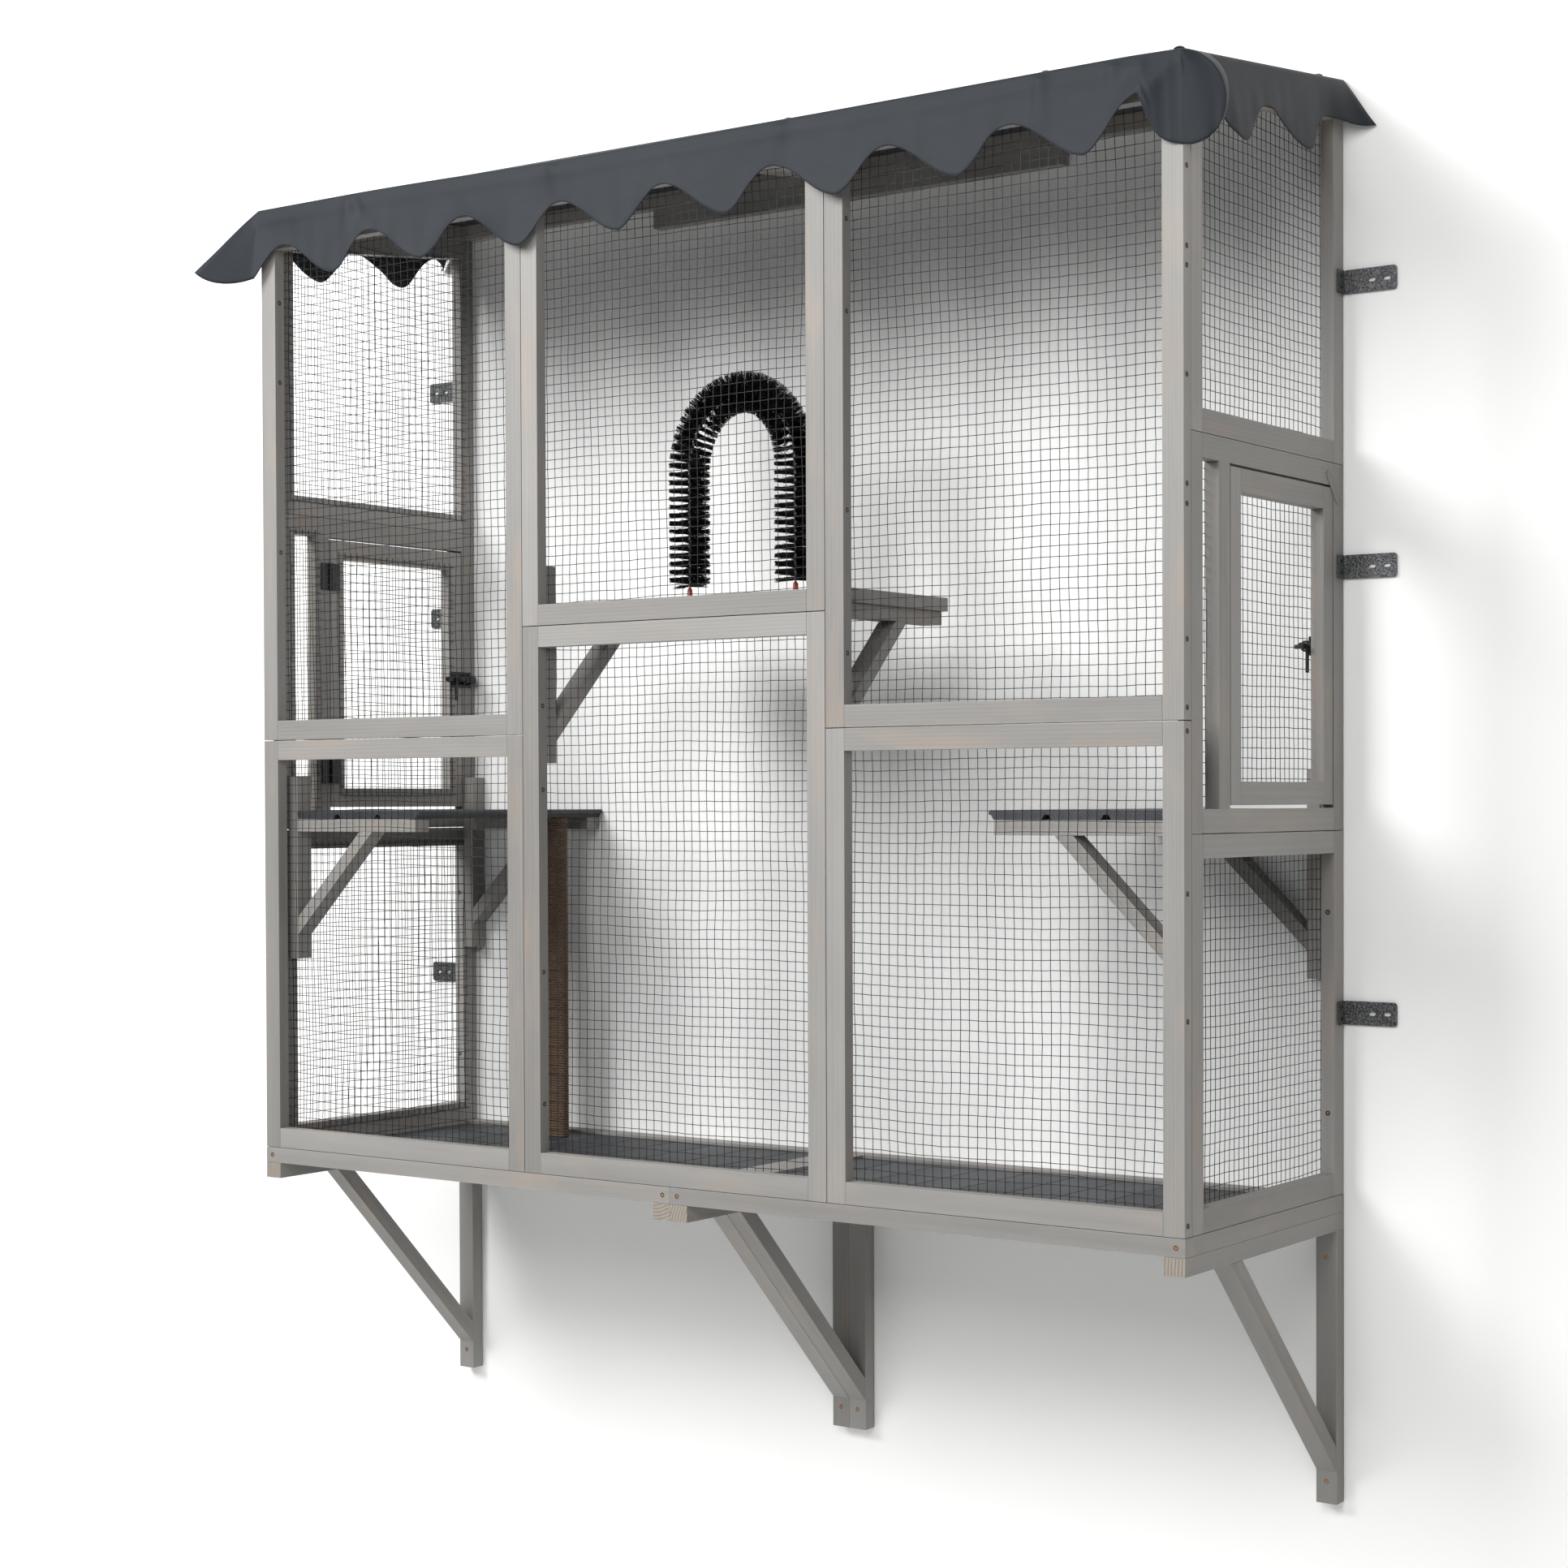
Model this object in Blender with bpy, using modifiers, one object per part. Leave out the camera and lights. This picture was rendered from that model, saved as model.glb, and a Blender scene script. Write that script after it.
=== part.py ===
"""Window catio: a wall-hung wooden cat enclosure with wire mesh panels.

Metres, +Z up, +X to the right seen from the front, +Y towards the wall.
The origin lies on the wall plane, at the middle of the width and level with the
top of the floor frame, on which the panels stand.
"""
import math

import bmesh
import bpy
from mathutils import Matrix, Vector

# Boards and running clearances
BOARD_WIDE = 0.028
BOARD_THICK = 0.018
GAP = 0.0003
EMBED = 0.0003
CUT_OVERRUN = 0.004
CURVE_STEPS = 5
MERGE_DISTANCE = 0.000005

# Overall body
COLUMN_WIDE = 0.498
DEPTH = 0.434
SHORT_PANEL = 0.592
TALL_PANEL = 0.738
SIDE_PANEL = 0.462
ROOF_RISE = 0.056
COLUMN_COUNT = 3

# Wire mesh stapled to the inner face of a frame
NET_PITCH = 0.102
NET_BAR = 0.0032
NET_THICK = 0.0010
NET_OVERLAP = 0.008

# Side door, its frame and the narrow mesh strip beside it
STRIP_WIDE = 0.042
DOOR_CLEARANCE = 0.002
DOOR_FOOT_CLEARANCE = 0.0045
DOOR_HEAD_CLEARANCE = 0.003
DOOR_SET_IN = 0.0005

# Butt hinges
HINGE_TALL = 0.040
HINGE_FROM_END = 0.056
HINGE_LEAF_WIDE = 0.019
HINGE_LEAF_THICK = 0.0015
HINGE_KNUCKLE_RADIUS = 0.0032
HINGE_PIN_RADIUS = 0.0014
HINGE_BORE_RADIUS = 0.0019
HINGE_JOINT_GAP = 0.0004
HINGE_MIDDLE_SHARE = 0.33
HINGE_SIDES = 16
HINGE_LEAF_SET = 0.0003

# Slide bolt, its plate and its keeper
LATCH_TALL = 0.024
LATCH_PLATE_THICK = 0.0015
LATCH_HOOP_DEEP = 0.0032
LATCH_HOOP_WALL = 0.0025
LATCH_EDGE = 0.0006
BOLT_RADIUS = 0.0040
BOLT_CLEARANCE = 0.0006
BOLT_TAIL = 0.014
BOLT_HANDLE_WIDE = 0.0045
BOLT_HANDLE_DROP = 0.033
BOLT_HANDLE_THICK = 0.0028
BOLT_KNOB_REACH = 0.0165
BOLT_KNOB_RADIUS = 0.0028
KEEPER_WIDE = 0.018
KEEPER_HOOP_DEEP = 0.010
KEEPER_CLEARANCE = 0.0012
BOLT_SIDES = 16

# Plate that stops the door at its top rear corner
STOP_RADIUS = 0.006
STOP_THICK = 0.0016
STOP_SPAN = 0.0395
STOP_ANGLE_DEGREES = 47.0

# Floor frame and floor boards
BASE_TALL = 0.022
FLOOR_THICK = 0.009
FLOOR_SET_DOWN = 0.004
FLOOR_REBATE = 0.008
PLANK_WIDE = 0.070
GROOVE_TOP_WIDE = 0.004
GROOVE_BOTTOM_WIDE = 0.014
GROOVE_INNER_WIDE = 0.007
GROOVE_TOP_DEEP_SHARE = 0.2
GROOVE_BOTTOM_DEEP_SHARE = 0.5

# Braces under the floor
BRACE_BOARD_THICK = 0.022
BRACE_DROP = 0.392
BRACE_REACH_SETBACK = 0.117
BRACE_ANGLE_DEGREES = 46.0

# Shelves and their brackets
SHELF_DEEP = 0.259
SIDE_SHELF_THICK = 0.012
MIDDLE_SHELF_THICK = 0.018
MIDDLE_SHELF_RISE = 0.032
MIDDLE_SHELF_LAP = 0.005
SHELF_FRONT_GAP = 0.011
BRACKET_REACH = 0.252
BRACKET_ABOVE_SHELF = 0.050
BRACKET_BELOW_SHELF = 0.216
BRACKET_BRACE_OUT = 0.168
BRACKET_ANGLE_DEGREES = 45.0

# Scratching post: a flat board wound with sisal rope
POST_WIDE = 0.060
POST_DEEP = 0.018
POST_FROM_SHELF_EDGE = 0.005
POST_FROM_WALL = 0.071
POST_TURNS = 15
POST_ROPE_SHARE = 0.94
POST_CORNER_RADIUS = 0.006

# Arched grooming brush
BRUSH_RADIUS = 0.031
BRUSH_CORE_RADIUS = 0.0065
BRUSH_HALF_SPAN = 0.0885
BRUSH_BEND_RISE = 0.101
BRUSH_LEG = 0.180
BRUSH_BEHIND_FRONT = 0.163
BRUSH_ROW_PITCH = 0.0110
BRUSH_FIRST_ROW = 0.024
BRUSH_LEG_STRANDS = 8
BRUSH_BEND_ROWS = 13
BRUSH_BEND_STRANDS = 6
BRUSH_STRAND_RADIUS = 0.0017
BRUSH_TWIST_DEGREES = 19.0
BRUSH_BEND_STEPS = 8
BRUSH_LEAD = 0.002

# Steel angles that hold the catio to the wall
ANGLE_TALL = 0.030
ANGLE_LONG = 0.072
ANGLE_SHORT = 0.020
ANGLE_THICK = 0.002
ANGLE_CORNER_RADIUS = 0.004
ANGLE_SLOT_LONG = 0.010
ANGLE_SLOT_WIDE = 0.005
ANGLE_SLOT_FIRST = 0.039
ANGLE_SLOT_SPACING = 0.020
SLOT_END_STEPS = 6
ANGLE_SCREW_RADIUS = 0.0021
ANGLE_SCREW_SPACING = 0.015
ANGLE_LOW = 0.231
ANGLE_MIDDLE = 0.795
ANGLE_HIGH = 1.154

# Roof frames, batten and fabric cover
ROOF_TALL = 0.022
BATTEN_LONG = 0.700
COVER_THICK = 0.0014
COVER_EDGE = 0.0045
COVER_CUT = 0.056
COVER_LOBE = 0.108
COVER_CORNER_LOBE = 0.124
COVER_PERIOD = 0.1725
COVER_FRONT_LOBES = 8
COVER_CUT_SHARE = 0.8
COVER_SIDE_SHARE = 0.9
COVER_HANG_DEGREES = 2.0
COVER_LOBE_LIFT_DEGREES = 3.0
COVER_LEFT_LIFT_DEGREES = 42.0
COVER_RIGHT_LIFT_DEGREES = 27.0
COVER_CORNER_LIFT_DEGREES = 36.0
COVER_CORNER_FLARE = 0.070
COVER_REAR_LIFT_DEGREES = 25.0
COVER_REAR_FLARE = 0.070
COVER_SIDE_STEPS = 15
COVER_LOBE_STEPS = 6
COVER_CORNER_STEPS = 8
COVER_DROP_STEPS = 3

# Sizes that follow from the ones above
HALF_WIDE = COLUMN_WIDE * COLUMN_COUNT / 2
FRONT_Y = -DEPTH
FRONT_BACK_Y = FRONT_Y + BOARD_THICK
FRONT_TALL = SHORT_PANEL + TALL_PANEL
SIDE_INNER_X = HALF_WIDE - BOARD_THICK
ROOF_SLOPE = math.atan2(ROOF_RISE, DEPTH)
DOOR_FRAME_LOW = SIDE_PANEL
DOOR_FRAME_HIGH = 2 * SIDE_PANEL
DOORWAY_FRONT_Y = FRONT_BACK_Y + BOARD_WIDE + STRIP_WIDE + BOARD_WIDE
DOORWAY_REAR_Y = -BOARD_WIDE
DOORWAY_LOW = DOOR_FRAME_LOW + BOARD_WIDE
DOORWAY_HIGH = DOOR_FRAME_HIGH - BOARD_WIDE
DOOR_FRONT_Y = DOORWAY_FRONT_Y + DOOR_CLEARANCE
DOOR_REAR_Y = DOORWAY_REAR_Y - DOOR_CLEARANCE
DOOR_LOW = DOORWAY_LOW + DOOR_FOOT_CLEARANCE
DOOR_HIGH = DOORWAY_HIGH - DOOR_HEAD_CLEARANCE
DOOR_MIDDLE = (DOOR_LOW + DOOR_HIGH) / 2
HINGE_OFF_FACE = HINGE_KNUCKLE_RADIUS + GAP
HINGE_X = SIDE_INNER_X - HINGE_OFF_FACE
HINGE_Y = (DOORWAY_FRONT_Y + DOOR_FRONT_Y) / 2
FACE_SEAT = NET_THICK + GAP
BOLT_OFF_FACE = FACE_SEAT + LATCH_PLATE_THICK + 2 * BOLT_CLEARANCE + BOLT_RADIUS
SIDE_SHELF_HIGH = DOORWAY_LOW
MIDDLE_SHELF_HIGH = TALL_PANEL + MIDDLE_SHELF_RISE
SHELF_FRONT_Y = FRONT_BACK_Y + SHELF_FRONT_GAP
FLOOR_TOP = -FLOOR_SET_DOWN

RIGHT = 1
LEFT = -1


def side_word(side):
    """The word for a side in a node's name."""
    return "right" if side == RIGHT else "left"


def clear_scene():
    """Remove every object and mesh that the file holds."""
    for old in list(bpy.data.objects):
        bpy.data.objects.remove(old, do_unlink=True)
    for old in list(bpy.data.collections):
        bpy.data.collections.remove(old)


def new_collection(name):
    """A collection linked to the scene."""
    made = bpy.data.collections.new(name)
    bpy.context.scene.collection.children.link(made)
    return made


def make_material(name, color, roughness, metallic=0.0):
    """A Principled material with a plain colour."""
    made = bpy.data.materials.new(name)
    made.use_nodes = True
    shader = made.node_tree.nodes["Principled BSDF"]
    shader.inputs["Base Color"].default_value = (*color, 1.0)
    shader.inputs["Roughness"].default_value = roughness
    shader.inputs["Metallic"].default_value = metallic
    made.diffuse_color = (*color, 1.0)
    return made


clear_scene()
PARTS = new_collection("window_catio")
CUTTERS = new_collection("window_catio_cutters")

WOOD = make_material("grey_washed_fir", (0.46, 0.44, 0.41), 0.62)
WIRE = make_material("black_mesh_wire", (0.02, 0.02, 0.022), 0.45, 0.6)
STEEL = make_material("black_steel", (0.015, 0.015, 0.016), 0.5, 0.7)
FLOOR_PAINT = make_material("dark_grey_board", (0.075, 0.08, 0.09), 0.6)
SISAL = make_material("sisal_rope", (0.25, 0.15, 0.085), 0.9)
BRISTLE = make_material("black_bristle", (0.008, 0.008, 0.008), 0.55)
FABRIC = make_material("slate_fabric", (0.07, 0.08, 0.095), 0.75)


def add_object(name, mesh, material, collection=None):
    """An object for a mesh, in the parts collection unless another is given."""
    made = bpy.data.objects.new(name, mesh)
    if material is not None and not mesh.materials:
        mesh.materials.append(material)
    (collection or PARTS).objects.link(made)
    return made


def hide_cutter(item):
    """Keep a helper shape out of the model."""
    item.hide_render = True
    item.display_type = "WIRE"
    for holder in list(item.users_collection):
        holder.objects.unlink(item)
    CUTTERS.objects.link(item)


def combine(target, helper, operation):
    """Join a helper shape to a piece, or cut it away, with a Boolean."""
    hide_cutter(helper)
    step = target.modifiers.new(operation.lower() + "_" + helper.name, "BOOLEAN")
    step.operation = operation
    step.solver = "EXACT"
    step.object = helper


def rectangle(low_u, low_v, high_u, high_v):
    """Corner points of a rectangle, counter-clockwise."""
    return [(low_u, low_v), (high_u, low_v), (high_u, high_v), (low_u, high_v)]


def arc(center_u, center_v, radius, start, end, steps):
    """Points of an arc between two angles in degrees, both ends included."""
    points = []
    for index in range(steps + 1):
        angle = math.radians(start + (end - start) * index / steps)
        points.append((center_u + radius * math.cos(angle), center_v + radius * math.sin(angle)))
    return points


def rounded_rectangle(low_u, low_v, high_u, high_v, radius, steps):
    """A rectangle whose corners are quarter circles."""
    points = arc(high_u - radius, high_v - radius, radius, 0, 90, steps)
    points += arc(low_u + radius, high_v - radius, radius, 90, 180, steps)
    points += arc(low_u + radius, low_v + radius, radius, 180, 270, steps)
    points += arc(high_u - radius, low_v + radius, radius, 270, 360, steps)
    return points


def slot_outline(center_u, center_v, length, width, steps):
    """A slot with round ends along u."""
    reach = (length - width) / 2
    points = arc(center_u + reach, center_v, width / 2, -90, 90, steps)
    points += arc(center_u - reach, center_v, width / 2, 90, 270, steps)
    return points


def mesh_from_curve(curve, name):
    """Turn a filled curve into a closed mesh."""
    holder = bpy.data.objects.new(name + "_outline", curve)
    PARTS.objects.link(holder)
    graph = bpy.context.evaluated_depsgraph_get()
    mesh = bpy.data.meshes.new_from_object(holder.evaluated_get(graph))
    bpy.data.objects.remove(holder, do_unlink=True)
    mesh.name = name
    shape = bmesh.new()
    shape.from_mesh(mesh)
    bmesh.ops.remove_doubles(shape, verts=shape.verts, dist=MERGE_DISTANCE)
    bmesh.ops.recalc_face_normals(shape, faces=shape.faces)
    shape.to_mesh(mesh)
    shape.free()
    return mesh


def plate_mesh(name, outlines, thickness):
    """A flat plate from closed outlines, its holes among them."""
    curve = bpy.data.curves.new(name, "CURVE")
    curve.dimensions = "2D"
    curve.fill_mode = "BOTH"
    curve.extrude = thickness / 2
    for outline in outlines:
        spline = curve.splines.new("POLY")
        spline.points.add(len(outline) - 1)
        for point, place in zip(spline.points, outline):
            point.co = (place[0], place[1], 0.0, 1.0)
        spline.use_cyclic_u = True
    return mesh_from_curve(curve, name)


def stand_across_width(item, middle_y):
    """Turn a flat piece so that its u is X and its v is Z."""
    item.rotation_euler = (math.pi / 2, 0.0, 0.0)
    item.location = (0.0, middle_y, 0.0)


def stand_along_depth(item, middle_x):
    """Turn a flat piece so that its u is Y and its v is Z."""
    item.rotation_euler = (math.pi / 2, 0.0, math.pi / 2)
    item.location = (middle_x, 0.0, 0.0)


def front_plate(name, outlines, thickness, material, middle_y):
    """A plate that stands across the width: outline u is X and v is Z."""
    made = add_object(name, plate_mesh(name, outlines, thickness), material)
    stand_across_width(made, middle_y)
    return made


def side_plate(name, outlines, thickness, material, middle_x):
    """A plate that stands along the depth: outline u is Y and v is Z."""
    made = add_object(name, plate_mesh(name, outlines, thickness), material)
    stand_along_depth(made, middle_x)
    return made


def flat_plate(name, outlines, thickness, material, middle_z):
    """A plate that lies flat: outline u is X and v is Y."""
    made = add_object(name, plate_mesh(name, outlines, thickness), material)
    made.location = (0.0, 0.0, middle_z)
    return made


def box(name, low, high, material):
    """A block between two corners."""
    mesh = bpy.data.meshes.new(name)
    shape = bmesh.new()
    bmesh.ops.create_cube(shape, size=1.0)
    size = Vector(high) - Vector(low)
    bmesh.ops.scale(shape, vec=size, verts=shape.verts)
    shape.to_mesh(mesh)
    shape.free()
    made = add_object(name, mesh, material)
    made.location = (Vector(high) + Vector(low)) / 2
    return made


def cylinder(name, radius, length, center, axis, material, sides):
    """A round bar of a given length about its centre, along X, Y or Z."""
    mesh = bpy.data.meshes.new(name)
    shape = bmesh.new()
    bmesh.ops.create_cone(
        shape, cap_ends=True, segments=sides, radius1=radius, radius2=radius, depth=length
    )
    shape.to_mesh(mesh)
    shape.free()
    mesh.shade_smooth()
    mesh.set_sharp_from_angle(angle=math.radians(40))
    made = add_object(name, mesh, material)
    made.location = center
    if axis == "X":
        made.rotation_euler = (0.0, math.pi / 2, 0.0)
    if axis == "Y":
        made.rotation_euler = (math.pi / 2, 0.0, 0.0)
    return made


def net_mesh(name, low_u, high_u, low_v, top_at):
    """A wire mesh over a window in u and v, whose top may follow a slope."""
    columns = max(1, round((high_u - low_u) / NET_PITCH))
    rows = max(1, round((top_at(high_u) - low_v) / NET_PITCH))
    pitch = (high_u - low_u) / columns
    lines = [low_u - NET_OVERLAP]
    for column in range(columns):
        lines += [low_u + column * pitch + NET_BAR / 2,
                  low_u + (column + 1) * pitch - NET_BAR / 2]
    lines.append(high_u + NET_OVERLAP)
    shape = bmesh.new()
    bmesh.ops.create_grid(shape, x_segments=2 * columns + 1, y_segments=2 * rows + 1, size=1.0)
    for vertex in shape.verts:
        u = lines[round((vertex.co.x + 1) / 2 * (2 * columns + 1))]
        step = round((vertex.co.y + 1) / 2 * (2 * rows + 1))
        rise = (top_at(u) - low_v) / rows
        if step == 0:
            v = low_v - NET_OVERLAP
        elif step == 2 * rows + 1:
            v = top_at(u) + NET_OVERLAP
        elif step % 2:
            v = low_v + (step - 1) / 2 * rise + NET_BAR / 2
        else:
            v = low_v + step / 2 * rise - NET_BAR / 2
        vertex.co = (u, v, 0.0)
    gaps = []
    for face in shape.faces:
        sides_u = sorted({round(vertex.co.x, 6) for vertex in face.verts})
        wide = sides_u[-1] - sides_u[0]
        heights = [vertex.co.y for vertex in face.verts]
        if wide > 2 * NET_BAR + NET_OVERLAP and max(heights) - min(heights) > NET_PITCH / 2:
            gaps.append(face)
    bmesh.ops.delete(shape, geom=gaps, context="FACES")
    grown = bmesh.ops.extrude_face_region(shape, geom=shape.faces[:])
    raised = [item for item in grown["geom"] if isinstance(item, bmesh.types.BMVert)]
    thick = NET_THICK + EMBED
    bmesh.ops.translate(shape, vec=(0.0, 0.0, thick), verts=raised)
    bmesh.ops.translate(shape, vec=(0.0, 0.0, -thick / 2), verts=shape.verts)
    bmesh.ops.recalc_face_normals(shape, faces=shape.faces)
    mesh = bpy.data.meshes.new(name)
    shape.to_mesh(mesh)
    shape.free()
    return mesh


def side_net(frame, side, window):
    """A net over a window of a side, fused to its frame's inner face."""
    low_y, low_z, high_y, high_z = window
    name = frame.name + "_net"
    net = add_object(name, net_mesh(name, low_y, high_y, low_z, lambda u: high_z), WIRE)
    stand_along_depth(net, side_net_x(side))
    dress_with_net(frame, net)


def dress_with_net(frame, net):
    """Fuse a net to the frame that it is stapled to, keeping its own material."""
    frame.data.materials.append(WIRE)
    net.data.materials.clear()
    net.data.materials.append(WOOD)
    net.data.materials.append(WIRE)
    for face in net.data.polygons:
        face.material_index = 1
    combine(frame, net, "UNION")


def front_panel(name, column, low_z, high_z):
    """A wooden frame of the front with its mesh on the inside."""
    low_x = -HALF_WIDE + column * COLUMN_WIDE + GAP / 2
    high_x = low_x + COLUMN_WIDE - GAP
    low_z = low_z + GAP
    window = (low_x + BOARD_WIDE, low_z + BOARD_WIDE, high_x - BOARD_WIDE, high_z - BOARD_WIDE)
    outlines = [rectangle(low_x, low_z, high_x, high_z), rectangle(*window)]
    frame = front_plate(name, outlines, BOARD_THICK, WOOD, FRONT_Y + BOARD_THICK / 2)
    mesh = net_mesh(name + "_net", window[0], window[2], window[1], lambda u: window[3])
    net = add_object(name + "_net", mesh, WIRE)
    stand_across_width(net, FRONT_BACK_Y + (NET_THICK - EMBED) / 2)
    dress_with_net(frame, net)
    return frame


def build_front():
    """Six front panels: two to a column, the tall one above in the outer columns."""
    for column, word in enumerate(("left", "middle", "right")):
        lower = TALL_PANEL if word == "middle" else SHORT_PANEL
        front_panel("front_panel_" + word + "_lower", column, 0.0, lower)
        front_panel("front_panel_" + word + "_upper", column, lower, FRONT_TALL)


def roof_under(y):
    """Height of the roof's underside at a depth."""
    return FRONT_TALL + GAP + (y - FRONT_Y) * math.tan(ROOF_SLOPE)


def side_middle_x(side):
    """Middle of a side panel's thickness."""
    return side * (HALF_WIDE - GAP / 2 - BOARD_THICK / 2)


def side_net_x(side):
    """Middle of a side net's thickness, on the panel's inner face."""
    inner = HALF_WIDE - GAP / 2 - BOARD_THICK
    return side * (inner - (NET_THICK - EMBED) / 2)


def side_panel_lower(side):
    """The lower mesh panel of a side."""
    name = "side_panel_" + side_word(side) + "_lower"
    low_y = FRONT_BACK_Y + GAP
    outer = (low_y, GAP, 0.0, SIDE_PANEL)
    window = (low_y + BOARD_WIDE, GAP + BOARD_WIDE, -BOARD_WIDE, SIDE_PANEL - BOARD_WIDE)
    frame = side_plate(name, [rectangle(*outer), rectangle(*window)], BOARD_THICK, WOOD,
                       side_middle_x(side))
    side_net(frame, side, window)


def side_panel_upper(side):
    """The upper mesh panel of a side, whose top rail follows the roof."""
    name = "side_panel_" + side_word(side) + "_upper"
    low_y = FRONT_BACK_Y + GAP
    low_z = DOOR_FRAME_HIGH + GAP
    outer = [(low_y, low_z), (0.0, low_z), (0.0, roof_under(0.0) - GAP),
             (low_y, roof_under(low_y) - GAP)]
    front_y = low_y + BOARD_WIDE
    rear_y = -BOARD_WIDE
    sill = low_z + BOARD_WIDE
    window = [(front_y, sill), (rear_y, sill),
              (rear_y, roof_under(rear_y) - BOARD_WIDE),
              (front_y, roof_under(front_y) - BOARD_WIDE)]
    frame = side_plate(name, [outer, window], BOARD_THICK, WOOD, side_middle_x(side))
    mesh = net_mesh(name + "_net", front_y, rear_y, sill,
                    lambda y: roof_under(y) - BOARD_WIDE)
    net = add_object(name + "_net", mesh, WIRE)
    stand_along_depth(net, side_net_x(side))
    dress_with_net(frame, net)


def stop_plate(side):
    """The slanted plate across the doorway's top rear corner, on the outside."""
    middle_y = DOORWAY_REAR_Y - STOP_RADIUS / 2
    middle_z = DOORWAY_HIGH - STOP_RADIUS / 2
    slot = slot_outline(0.0, 0.0, STOP_SPAN + 2 * STOP_RADIUS, 2 * STOP_RADIUS, CURVE_STEPS)
    tilt = math.radians(-STOP_ANGLE_DEGREES)
    turned = [(middle_y + u * math.cos(tilt) - v * math.sin(tilt),
               middle_z + u * math.sin(tilt) + v * math.cos(tilt)) for u, v in slot]
    middle_x = side * (HALF_WIDE - GAP / 2 - EMBED / 2 + STOP_THICK / 2)
    return side_plate("stop_plate_" + side_word(side), [turned], STOP_THICK + EMBED, STEEL,
                      middle_x)


def door_frame(side):
    """The middle frame of a side: a doorway, and a narrow mesh strip in front of it."""
    name = "door_frame_" + side_word(side)
    low_y = FRONT_BACK_Y + GAP
    low_z = DOOR_FRAME_LOW + GAP
    strip = (low_y + BOARD_WIDE, DOORWAY_LOW, DOORWAY_FRONT_Y - BOARD_WIDE, DOORWAY_HIGH)
    doorway = (DOORWAY_FRONT_Y, DOORWAY_LOW, DOORWAY_REAR_Y, DOORWAY_HIGH)
    outlines = [rectangle(low_y, low_z, 0.0, DOOR_FRAME_HIGH), rectangle(*strip),
                rectangle(*doorway)]
    frame = side_plate(name, outlines, BOARD_THICK, WOOD, side_middle_x(side))
    side_net(frame, side, strip)
    combine(frame, stop_plate(side), "UNION")


def hinge_joint(side):
    """An empty on a door's hinge axis, which carries the door's pieces."""
    joint = bpy.data.objects.new("door_axis_" + side_word(side), None)
    PARTS.objects.link(joint)
    joint.location = (side * HINGE_X, HINGE_Y, DOOR_MIDDLE)
    return joint


def hang_on(joint, piece):
    """Parent a piece to a joint's empty without moving it."""
    piece.parent = joint
    piece.matrix_parent_inverse = Matrix.Translation(joint.location).inverted()


def door(side, joint):
    """A hinged door: a frame with its mesh on the inside."""
    name = "door_" + side_word(side)
    outer = (DOOR_FRONT_Y, DOOR_LOW, DOOR_REAR_Y, DOOR_HIGH)
    window = (DOOR_FRONT_Y + BOARD_WIDE, DOOR_LOW + BOARD_WIDE,
              DOOR_REAR_Y - BOARD_WIDE, DOOR_HIGH - BOARD_WIDE)
    thick = BOARD_THICK - DOOR_SET_IN
    inner = HALF_WIDE - GAP / 2 - BOARD_THICK
    frame = side_plate(name, [rectangle(*outer), rectangle(*window)], thick, WOOD,
                       side * (inner + thick / 2))
    side_net(frame, side, window)
    hang_on(joint, frame)


def hinge_leaf_outline(far_y, tabs, height):
    """A hinge leaf in Y and Z, with tabs that reach the pin at the given heights."""
    sign = 1 if far_y > HINGE_Y else -1
    near_y = HINGE_Y + sign * (HINGE_KNUCKLE_RADIUS + HINGE_JOINT_GAP)
    half = HINGE_TALL / 2
    points = [(far_y, height - half), (near_y, height - half)]
    for low, high in tabs:
        low += height + HINGE_LEAF_SET
        high += height - HINGE_LEAF_SET
        points += [(near_y, low), (HINGE_Y, low), (HINGE_Y, high), (near_y, high)]
    points += [(near_y, height + half), (far_y, height + half)]
    cleaned = []
    for point in points:
        if not cleaned or (Vector(point) - Vector(cleaned[-1])).length > MERGE_DISTANCE:
            cleaned.append(point)
    return cleaned


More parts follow.
